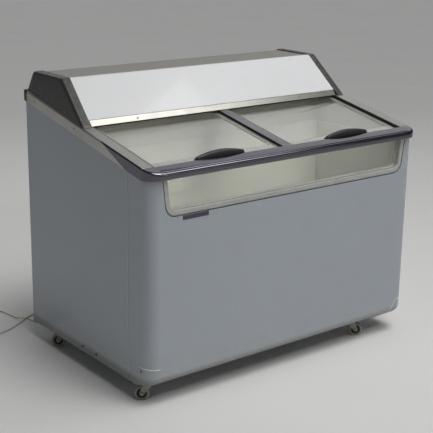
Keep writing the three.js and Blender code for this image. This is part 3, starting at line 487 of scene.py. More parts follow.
# ---------- leads ----------
CORD_D, EARTH_D = 7.0, 3.5
CORD_ROUTE = [
    (-430, 408.5, 62), (-430, 424, 61), (-429, 442, 48), (-428, 455, 20), (-427, 463, -15),
    (-426, 474, -44), (-427, 500, -60), (-434, 530, -61.8), (-450, 560, -61.9), (-476, 577, -61.9),
    (-505, 575, -61.9), (-535, 560, -61.9), (-564, 541, -61.9), (-610, 511, -61.9),
    (-650, 490.5, -61.9), (-692, 477, -61.9), (-727, 467.5, -61.9),
]
EARTH_ROUTE = [
    (-505, 384.3, 40), (-505, 400, 40), (-505, 414, 33), (-506, 425, 8), (-507, 433, -25),
    (-508, 444, -52), (-511, 464, -62.6), (-517, 488, -63.9), (-527, 510, -63.6), (-541, 529, -58.5),
    (-555, 547, -55.6), (-565, 566, -58.5), (-570, 590, -63.6), (-573, 618, -63.9),
    (-577, 645, -63.9), (-585, 682, -63.9), (-594, 711, -63.9), (-599.7, 725.5, -63.9),
]
CORD_COIL = {"x": -768, "y": 500, "radius": 36, "width": 26, "height": 14.2,
             "start": -75, "turn": -1905, "layers": 2, "d": CORD_D}
PLUG_X = CORD_COIL["x"] - 45.5
EARTH_COIL = {"x": -627.4, "y": 727.2, "radius": 20.25, "width": 11.1, "height": 14.2,
              "start": 20, "turn": 3040, "layers": 4, "d": EARTH_D}


def coil_points(coil):
    """Flat spirals, in and out by turns, stacked on each other."""
    d, layers = coil["d"], coil["layers"]
    reach = (coil["width"] - d) / 2
    low, high = 0.3 + d / 2, coil["height"] - d / 2
    climb = (high - low) / max(1, layers - 1)
    steps = round(abs(coil["turn"]) / 15)
    points = []
    for i in range(steps + 1):
        at = i / steps * layers
        layer = min(layers - 1, int(at))
        s = at - layer
        inward = s if layer % 2 == 0 else 1 - s
        r = coil["radius"] + reach * (1 - 2 * inward)
        lift = layer + max(0, (s - 0.9) / 0.1) * (layer < layers - 1)
        a = math.radians(coil["start"] + coil["turn"] * i / steps)
        height = low + climb * lift - FLOOR_DROP
        points.append((coil["x"] + r * math.cos(a), coil["y"] + r * math.sin(a), height))
    return points


def smooth_path(points, step):
    """Points about step apart on a centripetal Catmull-Rom curve through the given ones."""
    p = [Vector(q) for q in points]
    p = [p[0] * 2 - p[1]] + p + [p[-1] * 2 - p[-2]]
    path = []
    for i in range(1, len(p) - 2):
        a, b, c, d = p[i - 1:i + 3]
        t0, t1, t2 = (math.sqrt((q - r).length) for q, r in ((b, a), (c, b), (d, c)))
        m1 = ((b - a) / t0 - (c - a) / (t0 + t1) + (c - b) / t1) * t1
        m2 = ((c - b) / t1 - (d - b) / (t1 + t2) + (d - c) / t2) * t1
        count = max(1, round((c - b).length / step))
        for k in range(count):
            t = k / count
            path.append(b + m1 * t + (3 * (c - b) - 2 * m1 - m2) * t * t + (2 * (b - c) + m1 + m2) * t ** 3)
    return path + [p[-2]]


def cord_curve(name, points, diameter, material, stands_for):
    path = [row(p) for p in smooth_path(points, 3.0)]
    curve = bpy.data.curves.new(name, "CURVE")
    curve.dimensions = "3D"
    spline = curve.splines.new("POLY")
    spline.points.add(len(path) - 1)
    for point, p in zip(spline.points, path):
        point.co = (*p, 1)
    curve.bevel_depth = diameter / 2000
    curve.bevel_resolution = 4
    curve.use_fill_caps = True
    curve.materials.append(FINISHES[material])
    cord = bpy.data.objects.new(name, curve)
    bpy.context.scene.collection.objects.link(cord)
    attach(cord, "cabinet")
    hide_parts(*stands_for)
    length = sum((b - a).length for a, b in zip(path, path[1:]))
    return cord, path[0], length


def tie(name, coil, angle):
    """A strip tied round a coil's turns."""
    inside, outside = coil["radius"] - coil["width"] / 2 - 0.2, coil["radius"] + coil["width"] / 2 + 0.2
    top, wall, half = coil["height"] + 0.3, 0.9, 2.2
    a = math.radians(angle)

    def ring(r0, r1, z0, z1, t):
        corners = arc(r1 - 2, z1 - 2, 2, 0, 90, 4) + arc(r0 + 2, z1 - 2, 2, 90, 180, 4) + [(r0, z0), (r1, z0)]
        return [(coil["x"] + r * math.cos(a) - t * math.sin(a),
                 coil["y"] + r * math.sin(a) + t * math.cos(a), z - FLOOR_DROP) for r, z in corners]

    loops = [ring(outer * -wall + inside, outer * wall + outside, 0.22 - 0.16 * outer, top + outer * wall, t)
             for outer, t in ((0, -half), (0, half), (1, half), (1, -half))]
    return finish_mesh(hoop(loops), name, "black", bevel=0.2)


def add_plug():
    """A flat two-pin plug with a ribbed sleeve, lying on the floor."""
    x, y = PLUG_X, CORD_COIL["y"] + 64.3
    z = -FLOOR_DROP
    stations = [(-17.9, 4.6, 4.6), (-12, 5.2, 5.2), (-8, 6.5, 6), (-4, 11.5, 7.6), (0, 12.7, 8.1),
                (8, 12.9, 8.2), (12, 12.8, 8.1), (15, 12.2, 7.6), (16, 11.2, 6.8)]
    rings = []
    for t, wide, high in stations:
        ring = []
        for i in range(28):
            a = 2 * math.pi * i / 28
            c, s = math.cos(a), math.sin(a)
            ring.append((x + wide * math.copysign(abs(c) ** 0.55, c), y + t,
                         z + 8.6 + high * math.copysign(abs(s) ** 0.7, s)))
        rings.append(ring)
    body = finish_mesh(loft(rings), "power_plug_fine", "sheath", "cabinet", ["power_plug"], 0.3, 40)
    grips = [block(x - 9, x + 9, y + t, y + t + 1.4, z + 16.2, z + 16.95) for t in (1, 4.5, 8)]
    finish_mesh(merged(grips), "power_plug_grips", "sheath", bevel=0.3)
    pins = []
    for side in (-6.5, 6.5):
        blade = block(x + side - 0.75, x + side + 0.75, y + 14, y + 32, z + 5.6, z + 11.4)
        hole = turned([(1.6, -3), (1.6, 3)], (x + side, y + 27.5, z + 8.5), (1, 0, 0), 16)
        pins.append(subtract(blade, hole))
    finish_mesh(merged(pins), "power_plug_pins", "strip", bevel=0.25)
    return body


def add_leads():
    gland_profile = [(0, -8), (7.9, -8), (7.9, 0), (11.8, 0), (11.8, 4.4), (10.8, 5.4), (7.4, 6.2)]
    for k in range(6):
        t = 7.5 + k * 2.7
        rib, waist = 7.0 - k * 0.26, 5.9 - k * 0.2
        gland_profile += [(rib, t), (rib, t + 1.5), (waist, t + 1.9), (waist, t + 2.5)]
    gland_profile += [(5.2, 24), (0, 24)]
    gland = finish_mesh(turned(gland_profile, (-430, 384.2, 62), (0, 1, 0), 28), "cord_gland_fine", "black",
                        "cabinet", ["cord_gland"], 0, 40)
    plug = add_plug()
    stops = ((10, 10.2), (22, 9.4), (34, 8.9), (47.5, 8.6))
    tail = [(PLUG_X, CORD_COIL["y"] + t, h - FLOOR_DROP) for t, h in stops]
    route = CORD_ROUTE + coil_points(CORD_COIL) + tail
    cord, start, length = cord_curve("power_cord_fine", route, CORD_D, "sheath",
                                     ["power_cord", "power_cord_coil"])
    cord_tie = tie("power_cord_tie", CORD_COIL, 65)
    x = EARTH_COIL["x"] - 24.05
    stops = ((-8, 11.2), (-18, 7.8), (-28, 4.4), (-38.6, 2.4))
    tail = [(x, EARTH_COIL["y"] + t, h - FLOOR_DROP) for t, h in stops]
    route = EARTH_ROUTE + coil_points(EARTH_COIL) + tail
    wire, start, length = cord_curve("earth_wire_fine", route, EARTH_D, "earth",
                                     ["earth_wire", "earth_wire_coil"])
    lug = dress("earth_lug", "strip", 0.2, 25)
    wire_tie = tie("earth_wire_tie", EARTH_COIL, 110)


# ---------- shell ----------
def front_panel():
    """One bent sheet: rounded upright corners, a curled lower edge and the window's opening."""
    thick, top = SHEET, 713.0

    def ring(offset, inset, z):
        r = CORNER_R - offset
        x, y = PANEL_X - CORNER_R, -HALF_Y + CORNER_R + inset
        left = arc(-x, y, r, 180, 270, 18)
        right = arc(x, y, r, 270, 360, 18)
        plan = [(-PANEL_X + offset, SEAM_Y), *left, *right, (PANEL_X - offset, SEAM_Y)]
        return [(px, py, z) for px, py in plan]

    def skin(offset):
        r = CORNER_R - offset
        angles = [math.pi / 2 * i / 16 for i in range(17)]
        rings = [ring(offset, r - r * math.sin(a), CORNER_R - r * math.cos(a)) for a in angles]
        return rings + [ring(offset, 0, top)]

    outer, inner = skin(0), skin(thick)
    count = len(outer[0])
    bm = bmesh.new()
    grids = [[[bm.verts.new(row(p)) for p in r] for r in rings] for rings in (outer, inner)]
    for grid in grids:
        for a, b in zip(grid, grid[1:]):
            for i in range(count - 1):
                bm.faces.new((a[i], a[i + 1], b[i + 1], b[i]))
    out, into = grids
    for k in (0, -1):
        for i in range(count - 1):
            bm.faces.new((out[k][i], out[k][i + 1], into[k][i + 1], into[k][i]))
        for a in range(len(out) - 1):
            bm.faces.new((out[a][k], out[a + 1][k], into[a + 1][k], into[a][k]))
    opening = loft([[(x, y, z) for x, z in window_outline(-0.3, 740)] for y in (-400, -360)])
    return finish_mesh(subtract(bm, opening), "front_panel_fine", "enamel", "cabinet", ["front_panel"],
                       0.35, 40)


def tube(points, radius, place=row, sides=10):
    """A round bead along points."""
    p = [Vector(q) for q in points]
    rings = []
    side = None
    for i, here in enumerate(p):
        along = (p[min(i + 1, len(p) - 1)] - p[max(i - 1, 0)]).normalized()
        side = along.orthogonal() if side is None else side - along * side.dot(along)
        side.normalize()
        third = along.cross(side)
        rings.append([here + (side * math.cos(a) + third * math.sin(a)) * radius
                      for a in [2 * math.pi * k / sides for k in range(sides)]])
    return loft(rings, place)


def front_surface(plan_at, z, lift=0.0):
    """A point of the front body: plan_at runs along its outline from a corner's start on the side
    (below 0), round the corner (0 to 90 degrees), then along the front (above 90, in mm past it)."""
    r = CORNER_R
    a = math.acos(max(-1.0, min(1.0, (r - z) / r))) if z < r else math.pi / 2
    inset = r - r * math.sin(a)
    out = lift * math.sin(a)
    x, y = PANEL_X - r, -HALF_Y + r + inset
    z -= lift * math.cos(a)
    if plan_at < 0:
        return (x + r + out, y - plan_at, z)
    if plan_at > 90:
        return (x - (plan_at - 90), y - r - out, z)
    t = math.radians(-plan_at)
    return (x + (r + out) * math.cos(t), y + (r + out) * math.sin(t), z)


def corner_crease(side):
    """The pressed lip round a lower corner, which on the right goes on down the front."""
    stops = [(-8 + 8 * k / 3, 70.5) for k in range(3)] + [(90 * k / 16, 70 - 3 * k / 16) for k in range(17)]
    if side > 0:
        stops += [(91.5, 66.4), (93.5, 65.0), (95.5, 61.5)]
        stops += [(95.5 + 30 * k / 12, 61.5 - 47 * k / 12) for k in range(1, 13)]
    points = [front_surface(at, z, -0.25) for at, z in stops]
    return tube([(x * side, y, z) for x, y, z in points], 1.6)


def window_outline(inset, top=None):
    """The window's outline in x and z, shrunk by inset all round."""
    low, bottom, r = WINDOW_FOOT_X - inset, WINDOW_LOW + inset, WINDOW_R - inset
    top = WINDOW_HIGH - inset if top is None else top
    flare = (WINDOW_HEAD_X - WINDOW_FOOT_X) / (WINDOW_HIGH - WINDOW_LOW - WINDOW_R)
    high = low + flare * (top - bottom - r)
    right = arc(low - r, bottom + r, r, 270, 360, 12)
    return [(-x, z) for x, z in reversed(right)] + right + [(high, top), (-high, top)]


def disc(x, y, z, normal, radius=3.6, depth=1.6, slot_turn=0.6):
    """A pan-head screw with a crossed recess, standing on a face."""
    n = Vector(normal).normalized()
    head = turned([(0, -0.4), (radius, -0.4), (radius, depth * 0.35), (radius * 0.82, depth * 0.8),
                   (radius * 0.45, depth), (0, depth)], (x, y, z), n, 20)
    side = n.orthogonal().normalized()
    third = n.cross(side)
    c, s = math.cos(slot_turn), math.sin(slot_turn)
    cuts = []
    for a, b in ((side * c + third * s, third * c - side * s), (third * c - side * s, side * c + third * s)):
        base = Vector((x, y, z)) + n * depth * 0.45
        arm, half = a * radius * 0.55, b * 0.45
        corners = [base + arm * i + half * j for i, j in ((-1, -1), (1, -1), (1, 1), (-1, 1))]
        cuts.append(loft([corners, [q + n * 4 for q in corners]]))
    for cutter in cuts:
        head = subtract(head, cutter)
    return head


LOUVRE_COLUMNS, LOUVRE_LOW, LOUVRE_PITCH, LOUVRE_ROWS = (-390, -230, 60, 220), 90, 34, 9


def rear_panel():
    """A flat sheet laid out in cells, so its slots, its dial opening and its lead hole stay square."""
    half, top = PANEL_X - SHEET - 0.3, top_at(382) + 0.5
    slots = [(x - 60, x + 60, z, z + 9) for x in LOUVRE_COLUMNS
             for z in [LOUVRE_LOW + LOUVRE_PITCH * k for k in range(LOUVRE_ROWS)]]
    dial_opening, lead_hole = (395, 505, 120, 190), (-438, -422, 54, 70)
    notch_x, notch_half = 576.85, 20.85
    gaps = slots + [dial_opening, lead_hole]
    gaps += [(s * notch_x - notch_half, s * notch_x + notch_half, top - RAIL_DROP - 2, top + 1)
             for s in (-1, 1)]
    xs = sorted({-half, half, *[round(v, 2) for g in gaps for v in g[:2] if abs(v) < half]})
    zs = sorted({12, top, *[round(v, 2) for g in gaps for v in g[2:] if v < top]})

    def solid(i, k):
        if not (0 <= i < len(xs) - 1 and 0 <= k < len(zs) - 1):
            return False
        x, z = (xs[i] + xs[i + 1]) / 2, (zs[k] + zs[k + 1]) / 2
        return not any(a < x < b and c < z < d for a, b, c, d in gaps)

    bm = bmesh.new()
    verts = {}

    def vert(i, k, y):
        if (i, k, y) not in verts:
            verts[i, k, y] = bm.verts.new(row((xs[i], y, zs[k])))
        return verts[i, k, y]

    for i in range(len(xs) - 1):
        for k in range(len(zs) - 1):
            if not solid(i, k):
                continue
            corners = [(i, k), (i + 1, k), (i + 1, k + 1), (i, k + 1)]
            for y in (REAR_Y0, REAR_Y1):
                bm.faces.new([vert(a, b, y) for a, b in corners])
            beside = [(i, k - 1), (i + 1, k), (i, k + 1), (i - 1, k)]
            for n, cell in enumerate(beside):
                if not solid(*cell):
                    one, two = corners[n], corners[(n + 1) % 4]
                    bm.faces.new((vert(*one, REAR_Y0), vert(*two, REAR_Y0),
                                  vert(*two, REAR_Y1), vert(*one, REAR_Y1)))
    return finish_mesh(bm, "rear_panel_fine", "galvanised", "cabinet", ["rear_panel"], 0.3, 32)


def add_shell():
    front_panel()
    for side in ("left", "right"):
        dress(side + "_side_panel", "enamel", 0.4)
        s = -1 if side == "left" else 1
        spots = ((HALF_X, 23, 20), (HALF_X, -64, 18.5), (PANEL_X, -339, 56.5))
        screws = [disc(s * x, y, z, (s, 0, 0), 4.2, 1.2, 0.3 + y) for x, y, z in spots]
        finish_mesh(merged(screws), side + "_panel_screws", "black", sharp=40)
        # A thin strip in the lighter hood white along the seam: a painted highlight on the sheet's edge.
        edge = block(s * HALF_X - 0.5, s * HALF_X + 0.5, SEAM_Y - 0.7, SEAM_Y + 0.5, 4, 683)
        finish_mesh(edge, side + "_seam_highlight", "hood_white", bevel=0.3)
    # The creases are drawn in the lighter hood white: a painted highlight along the pressed lip.
    finish_mesh(merged([corner_crease(-1), corner_crease(1)]), "corner_crease_highlights", "hood_white", sharp=60)
    rear_panel()
    louvres = []
    for x in LOUVRE_COLUMNS:
        for k in range(LOUVRE_ROWS):
            z = LOUVRE_LOW + LOUVRE_PITCH * k
            bend = (0.35, 0.7, 1.05, 1.4)
            inner = [(REAR_FACE + 5.2 * math.sin(a), z + 1.5 + 12 * math.cos(a)) for a in bend]
            outer = [(REAR_FACE + 6.2 * math.sin(a), z + 1.5 + 13.2 * math.cos(a)) for a in reversed(bend)]
            profile = [(REAR_FACE, z + 15), (REAR_FACE, z + 13.6), *inner]
            profile += [(REAR_FACE + 4.6, z + 1.0), (REAR_FACE + 5.4, z + 1.0), *outer]
            louvres.append(loft([[(x0, y, w) for y, w in profile] for x0 in (x - 59, x + 59)]))
    finish_mesh(merged(louvres), "rear_louvres", "galvanised", sharp=40)
    spots = [(x, z) for x in (-570, -190, 190, 570) for z in (24, 420, 800)]
    screws = [disc(x, REAR_Y1, z, (0, 1, 0), 3.6, 1.5, x) for x, z in spots]
    finish_mesh(merged(screws), "rear_screws", "screw", sharp=40)
    dress("base_frame", "galvanised", 0.5)
    dress("foam_insulation", "foam", 1.0)
    dress("rear_deck", "galvanised", 0.3)
    dress("liner_tub", "liner", 0.6)


# ---------- bright trim ----------
def front_rail():
    ridge, face = NOSE_Y + NOSE_R, -HALF_Y - 0.6
    profile = [(RAIL_BACK_Y, top_at(RAIL_BACK_Y)), (-356, top_at(-356) - 0.1),
               (ridge + 3, top_at(ridge + 3) - 0.8), *arc(ridge, 714, NOSE_R, 88, 180, 14),
               *arc(NOSE_Y + LIP_R, RAIL_LOW + LIP_R, LIP_R, 180, 270, 6),
               (face, RAIL_LOW), (face, 716), (RAIL_BACK_Y, 716)]
    half = CAP_X - 0.35
    rings = [[(x, y, z) for y, z in profile] for x in (-half, 0, half)]
    return finish_mesh(loft(rings), "front_rail_fine", "chrome", "cabinet", ["front_rail"], 0.3, 40)


def corner_cap(side):
    """The rail carried round the corner, its nose flattening into the side rail's square edge."""
    name = ("left" if side < 0 else "right") + "_corner_cap"
    reach = CAP_Y - NOSE_Y
    shell_x, shell_y = PANEL_X - CORNER_R - CAP_X, CORNER_R - HALF_Y - CAP_Y
    shell_r = CORNER_R + 0.6
    rings = []
    steps = 18
    stations = [(i / steps, 0.0) for i in range(steps + 1)] + [(1.0, 3.7)]
    for s, shift in stations:
        phi = math.radians(-90 + 90 * s)
        d = (math.cos(phi), math.sin(phi))
        soft = 0.5 - 0.5 * math.cos(math.pi * s)
        r = NOSE_R - 7 * soft
        lip = LIP_R - 3.5 * soft
        low = RAIL_LOW - 2.2 * soft
        # How far the shell's round corner is from the cap's centre, in this direction.
        off = d[0] * shell_x + d[1] * shell_y
        shell = off + math.sqrt(off * off - shell_x ** 2 - shell_y ** 2 + shell_r ** 2)
        under = min(46.2, shell)

        def at(rho, z):
            return (CAP_X + d[0] * rho, CAP_Y + d[1] * rho + shift, z)

        start = (CAP_X + 5 * s, -350.6 + shift * 0.6)
        edge_y = CAP_Y + d[1] * (reach - r) + shift
        top = top_at(edge_y) - 0.9 * (1 - soft)
        nose_z = top - r
        ring = [(start[0], start[1], top_at(start[1]) - 0.05)]
        ring += [at((reach - r) * 0.5, (top + top_at(start[1])) / 2)]
        ring += [at(reach - r + r * math.cos(a), nose_z + r * math.sin(a))
                 for a in [math.pi / 2 * (1 - i / 10) for i in range(11)]]
        ring += [at(reach - lip + lip * math.cos(a), low + lip + lip * math.sin(a))
                 for a in [-math.pi / 2 * i / 5 for i in range(6)]]
        ring += [at(under, low), at(under, 715.5), (start[0], start[1], 715.5)]
        rings.append([(x * side, y, z) for x, y, z in ring])
    return finish_mesh(loft(rings), name + "_fine", "chrome", "cabinet", [name], 0, 40)


def add_trim():
    front_rail()
    for side, s in (("left", -1), ("right", 1)):
        corner_cap(s)
        dress(side + "_side_rail", "trim", 0.25, 28)
        dress(side + "_rear_cap", "black", 1.0, 28)
        dress(side + "_lid_track", "black", 0.4)
        heads = [disc(s * HALF_X, y, top_at(y) - 19, (s, 0, 0), 3.7, 1.2, y) for y in (318, 51, -322)]
        finish_mesh(merged(heads), side + "_rail_screws", "screw", sharp=40)
        seal = block(s * SEAL_X - 1.2, s * SEAL_X + 1.2, SEAL_V0, SEAL_V1, LID_TOP + 0.5, -1.4, tilt)
        finish_mesh(seal, side + "_gasket", "gasket", bevel=0.5)
    dress("rear_rail", "strip", 0.4)
    # A black strip along the rear rail's lower edge: painted shade for the shadow gap there.
    shadow_strips = [block(x0, x1, 0.9, 2.4, -3.5, 1.2, tilt) for x0, x1 in ((-550.5, -21.5), (21.5, 550.5))]
    finish_mesh(merged(shadow_strips), "rear_shadow_strip", "gasket", bevel=0.4)
    strip_low, strip_high = top_at(2) + 1, 821.4
    slant = math.atan2(strip_high - strip_low, 17)
    for s in (-1, 1):
        normal = (0, -math.sin(slant), math.cos(slant))
        head = disc(s * 372, 8.2, (strip_low + strip_high) / 2, normal, 3.2, 1.2, s)
        finish_mesh(head, ("left" if s < 0 else "right") + "_strip_screw", "screw", sharp=40)
    dress("centre_mullion", "aluminium", 0.35, 25)
    seals = [block(x - 1.3, x + 1.3, SEAL_V0, SEAL_V1, LID_TOP + 0.5, -1.7, tilt)
             for x in (-MULLION_SEAL_X, MULLION_SEAL_X)]
    finish_mesh(merged(seals), "mullion_seals", "gasket", bevel=0.4)
    inlays = [block(x - 1.2, x + 1.2, SEAL_V0, SEAL_V1, -2.1, -1.3, tilt) for x in (-8, 0, 8)]
    finish_mesh(merged(inlays), "mullion_inlays", "gasket", bevel=0.3)


# ---------- lids ----------
# A handle's section, as fractions of its depth and height.
GRIP_SECTION = [(0, 0), (1, 0), (0.97, 0.3), (0.84, 0.5), (0.74, 0.66), (0.66, 0.82), (0.56, 0.94),
                (0.42, 1.0), (0.27, 0.97), (0.15, 0.86), (0.06, 0.62), (0.0, 0.25)]


def lid_handle(name, shift):
    """An arched grip with low blunt ends, steep in front and sloping away behind."""
    centre = (LID_X0 + LID_X1) / 2 + shift
    rings = []
    for i in range(45):
        s = i / 44
        bulge = math.sin(math.pi * (0.12 + 0.74 * s))
        end = max(0, 1 - min(s, 1 - s) / 0.03)
        blunt = math.sqrt(1 - 0.8 * end * end)
        height = (8 + (HANDLE_HEIGHT - 8) * bulge) * blunt
        depth = HANDLE_DEPTH * (0.35 + 0.65 * bulge) * (0.6 + 0.4 * blunt)
        v0, w0 = LID_V0 + 1.2, LID_TOP + 0.3
        x = centre + (s - 0.5) * HANDLE_LENGTH
        rings.append([(x, v0 + depth * a, w0 + height * b) for a, b in GRIP_SECTION])
    side = name.split("_")[0]
    return finish_mesh(loft(rings, tilt), name + "_fine", "black", side + "_lid", [name], 0.5, 45)


def add_lids():
    for side, shift in (("left", -(LID_X0 + LID_X1)), ("right", 0.0)):
        body = side + "_lid"
        dress(body + "_frame", "lid_metal", 0.9)
        dress(body + "_glass", "glass", 0.3)
        lid_handle(body + "_handle", shift)
        x0, x1 = LID_X0 + shift, LID_X1 + shift
        e, v0, v1 = LID_EDGE, LID_V0 + LID_GRIP, LID_V1 - LID_EDGE
        low, high = LID_TOP - 1.4, LID_TOP + 0.3
        seals = [block(x0 + e - 0.6, x1 - e + 0.6, v - 1.1, v + 1.1, low, high, tilt) for v in (v0, v1)]
        seals += [block(x - 1.1, x + 1.1, v0, v1, low, high, tilt) for x in (x0 + e, x1 - e)]
        finish_mesh(merged(seals), body + "_seal", "bezel", body, bevel=0.3)
        joints = []
        for x, dx in ((x0, 1), (x1, -1)):
            for v, way, reach in ((LID_V0, 1, LID_GRIP), (LID_V1, -1, LID_EDGE)):
                a, b = Vector((x + dx, v + way, 0)), Vector((x + dx * (e - 1), v + way * (reach - 1), 0))
                n = (b - a).cross(Vector((0, 0, 1))).normalized() * 0.18
                corners = [a - n, b - n, b + n, a + n]
                levels = (LID_TOP - 0.6, LID_TOP + 0.07)
                joints.append(loft([[(c.x, c.y, w) for c in corners] for w in levels], tilt))
        finish_mesh(merged(joints), body + "_mitres", "gasket", body)


# ---------- hood ----------
def filleted(points, radii, steps=5):
    """A closed outline with each corner rounded to its radius, or kept where the radius is 0."""
    out = []
    count = len(points)
    for i, (corner, radius) in enumerate(zip(points, radii)):
        if not radius:
            out.append(tuple(corner))
            continue
        c = Vector(corner)
        a = (Vector(points[i - 1]) - c).normalized()
        b = (Vector(points[(i + 1) % count]) - c).normalized()
        half = a.angle(b) / 2
        cut = radius / math.tan(half)
        centre = c + (a + b).normalized() * radius / math.sin(half)
        for k in range(steps + 1):
            spoke = (c + a * cut - centre).slerp(c + b * cut - centre, k / steps)
            out.append(tuple(centre + spoke.normalized() * radius))
    return out


def hood_outline(inset, foot):
    """Side outline of an end cap in y and z, shrunk by inset, its foot lifted by foot."""
    top = HOOD_TOP - inset
    slant = inset * math.sqrt(1 + HOOD_COT ** 2)
    toe_y, heel_y = -7 + inset * 3, 386 - inset * 1.1
    toe_z = top_at(toe_y) + 0.5 + foot
    front = HOOD_FRONT_Y + slant
    points = [(toe_y, toe_z), (heel_y, top_at(heel_y) + 0.5 + foot), (HOOD_BACK_Y - inset * 0.6, top),
              (front, top), (front - (HOOD_TOP - toe_z - 8) * HOOD_COT, toe_z + 8)]
    return filleted(points, (0, 0, 17 - inset, 13 - inset * 0.8, 6))


def hood_end(side):
    """A hollow moulded cap, well rounded where its side turns into its top and front."""
    soft = 9.0
    wall = 3
    stations = [(HOOD_OUTER - wall, soft, wall), (HOOD_OUTER - soft, wall, wall)]
    stations += [(HOOD_INNER, wall, wall), (HOOD_INNER, 0.05, 0)]
    stations += [(HOOD_OUTER - soft * (1 - math.sin(a)), soft * (1 - math.cos(a)) + 0.05, 0)
                 for a in [math.pi / 2 * k / 8 for k in range(9)]]
    rings = []
    for x, inset, foot in stations:
        rings.append([(side * (x - HOOD_LEAN * (z - HOOD_SEAT)), y, z) for y, z in hood_outline(inset, foot)])
    name = "hood_left_end" if side < 0 else "hood_right_end"
    return finish_mesh(loft(rings), name + "_fine", "charcoal", "cabinet", [name], 0, 35)


def add_hood():
    for side in (-1, 1):
        hood_end(side)
    dress("hood_front_panel", "hood_white", 0.9)
    dress("hood_top", "hood_brown", 0.5)


# ---------- window ----------
def band(outlines, y0, y1):
    """A flat ring between two outlines in x and z, from y0 to y1."""
    outer, inner = outlines
    stations = ((outer, y0), (inner, y0), (inner, y1), (outer, y1))
    return hoop([[(x, y, z) for x, z in outline] for outline, y in stations])


def add_window():
    dress("window_frame", "bezel", 2.6, 40)
    for pane in ("outer", "inner"):
        dress(f"window_{pane}_glass", "glass", 0.2)
    seal = band([window_outline(i, WINDOW_HIGH - 12 - (i - 17)) for i in (17.2, 18.8)], -377.4, -376.2)
    finish_mesh(seal, "window_seal", "grey_rubber", bevel=0.3)
    # A black ring round the bezel: a dark seam, and also painted shade for the shadow line in the gap there.
    outlines = [window_outline(inset) for inset in (-2.2, -0.25)]
    bead = band(outlines, -HALF_Y - 0.5, -HALF_Y + 0.05)
    finish_mesh(bead, "window_bead", "gasket", bevel=0.15)
    plate = loft([[(x, y, z) for x, z in ((-467, 559), (-364, 559), (-364, 573), (-467, 573))]
                  for y in (-HALF_Y + 0.2, -HALF_Y - 1.2)])
    finish_mesh(plate, "badge_plate", "badge", bevel=0.5)


# ---------- cooling unit ----------
def add_cooling_unit():
    for node, material, bevel in (
        ("evaporator_plate", "aluminium", 0.4), ("compressor", "motor_black", 1.0),
        ("fan_shroud", "galvanised", 0.5), ("condenser_fan", "black", 0.4),
        ("fan_motor", "galvanised", 0.8), ("discharge_pipe", "copper", 0.0),
        ("electrical_box", "black", 1.0), ("thermostat_knob", "bezel", 0.6),
    ):
        dress(node, material, bevel, 28)
    plates = [block(x, x + 0.6, 319, 373, 36, 322) for x in [-436 + 6.1 * i for i in range(52)]]
    finish_mesh(merged(plates), "condenser_fins", "fin", "cabinet")
    dress("condenser", "fin", 0.4)


# ---------- casters ----------
def caster(name, x, y, turn):
    """A wheel with its hub and nuts in a fork, under a bolted plate, swivelled by turn degrees."""
    a = math.radians(turn)

    def place(p):
        return row((x + p[0] * math.cos(a) - p[1] * math.sin(a), y + p[0] * math.sin(a) + p[1] * math.cos(a),
                    p[2] - FLOOR_DROP))

    half, r = WHEEL_WIDTH / 2, WHEEL_R
    hub = (CASTER_TRAIL, 0, WHEEL_R)
    tread = [(17.6, -half + 1.5), (18.6, -half + 0.2), (r - 3, -half)]
    tread += [(r - 3 + 3 * math.sin(t), -half + 3 - 3 * math.cos(t)) for t in (0.5, 1.0, 1.57)]
    tread += [(q, -t) for q, t in reversed(tread)]
    sides = 48
    turns = [2 * math.pi * i / sides for i in range(sides)]
    loops = [[(hub[0] + q * math.cos(t), w, hub[2] + q * math.sin(t)) for q, w in tread] for t in turns]
    finish_mesh(hoop(loops, place), f"caster_wheel_{name}_fine", "nylon", "wheel_" + name,
                ["caster_wheel_" + name], 0, 40)
    web = turned([(4.4, -9.6), (9.5, -9.6), (10.5, -8.8), (12.5, -5), (17.7, -4.2), (17.7, 4.2), (12.5, 5),
                  (10.5, 8.8), (9.5, 9.6), (4.4, 9.6), (4.4, -9.6)], hub, (0, 1, 0), 32, place)
    finish_mesh(web, f"caster_hub_{name}", "hub", "wheel_" + name, sharp=40)
    finish_mesh(cleaned("caster_fork_" + name), f"caster_fork_{name}_fine", "shaded_caster_steel", "fork_" + name,
                ["caster_fork_" + name], 0.5, 28)
    nuts = [turned([(0, 0), (6.2, 0), (6.2, 2.6), (5.4, 3.1), (3.4, 3.1), (3.4, 4.2), (0, 4.4)],
                   (CASTER_TRAIL, s * 13.9, WHEEL_R), (0, s, 0), 6, place) for s in (-1, 1)]
    finish_mesh(merged(nuts), f"caster_nuts_{name}", "screw", "fork_" + name, sharp=30)
    dress("caster_plate_" + name, "galvanised", 0.5, 28)
    bolts = [turned([(0, 0), (4.6, 0), (4.6, -2.4), (3.8, -3), (0, -3)], (x + i, y + j, 1.3), (0, 0, 1), 6)
             for i in (-22, 22) for j in (-22, 22)]
    finish_mesh(merged(bolts), f"caster_bolts_{name}", "screw", sharp=30)


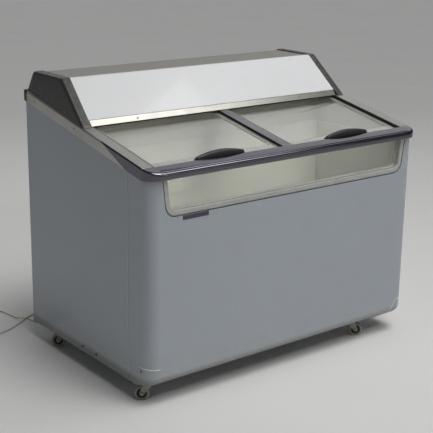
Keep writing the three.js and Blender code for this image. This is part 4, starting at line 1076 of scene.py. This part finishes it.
# ---------- studio ----------
def area_light(name, place, aim, size, power, color=(1, 1, 1)):
    light = bpy.data.lights.new(name, "AREA")
    light.shape, light.size, light.size_y = "RECTANGLE", size[0], size[1]
    light.energy, light.color = power, color
    lamp = bpy.data.objects.new(name, light)
    lamp.location = place
    lamp.rotation_mode = "QUATERNION"
    lamp.rotation_quaternion = (Vector(aim) - Vector(place)).to_track_quat("-Z", "Y")
    bpy.context.scene.collection.objects.link(lamp)


def add_studio():
    bm = block(-14000, 14000, -14000, 14000, -FLOOR_DROP - 60, -FLOOR_DROP - 0.05)
    mesh = bpy.data.meshes.new("floor")
    bm.to_mesh(mesh)
    bm.free()
    f = Finish("floor", (0.78, 0.77, 0.75), 0.65)
    f.tint(f.noise(1.5, contrast=(0.3, 0.8)), (0.75, 0.742, 0.725))
    mesh.materials.append(f.done())
    floor = bpy.data.objects.new("floor", mesh)
    bpy.context.scene.collection.objects.link(floor)
    world = bpy.data.worlds.new("studio")
    bpy.context.scene.world = world
    world.use_nodes = True
    background = world.node_tree.nodes["Background"]
    background.inputs["Color"].default_value = (0.86, 0.9, 0.95, 1)
    background.inputs["Strength"].default_value = 0.12
    area_light("key", (0.7, -1.0, 3.0), (0.1, 0.1, 0.9), (2.4, 1.0), 26)
    area_light("front", (2.6, -4.2, 2.0), (0.1, -0.3, 0.5), (2.2, 0.8), 5)
    area_light("tube", (0.0, -2.6, 2.7), (0.2, 0, 0.6), (3.0, 0.07), 13)
    area_light("wall", (1.6, 2.6, 2.6), (0.1, 0, 0.9), (4.5, 1.6), 14)
    sun = bpy.data.lights.new("sun", "SUN")
    sun.energy, sun.angle = 1.1, math.radians(35)
    lamp = bpy.data.objects.new("sun", sun)
    lamp.rotation_euler = (math.radians(22), math.radians(6), 0)
    bpy.context.scene.collection.objects.link(lamp)
    bpy.context.scene.view_settings.view_transform = "Standard"


add_camera()
add_leads()
add_shell()
add_trim()
add_lids()
add_hood()
add_window()
add_cooling_unit()
for caster_name, (cx, cy, ct) in CASTERS.items():
    caster(caster_name, cx, cy, ct)
add_studio()
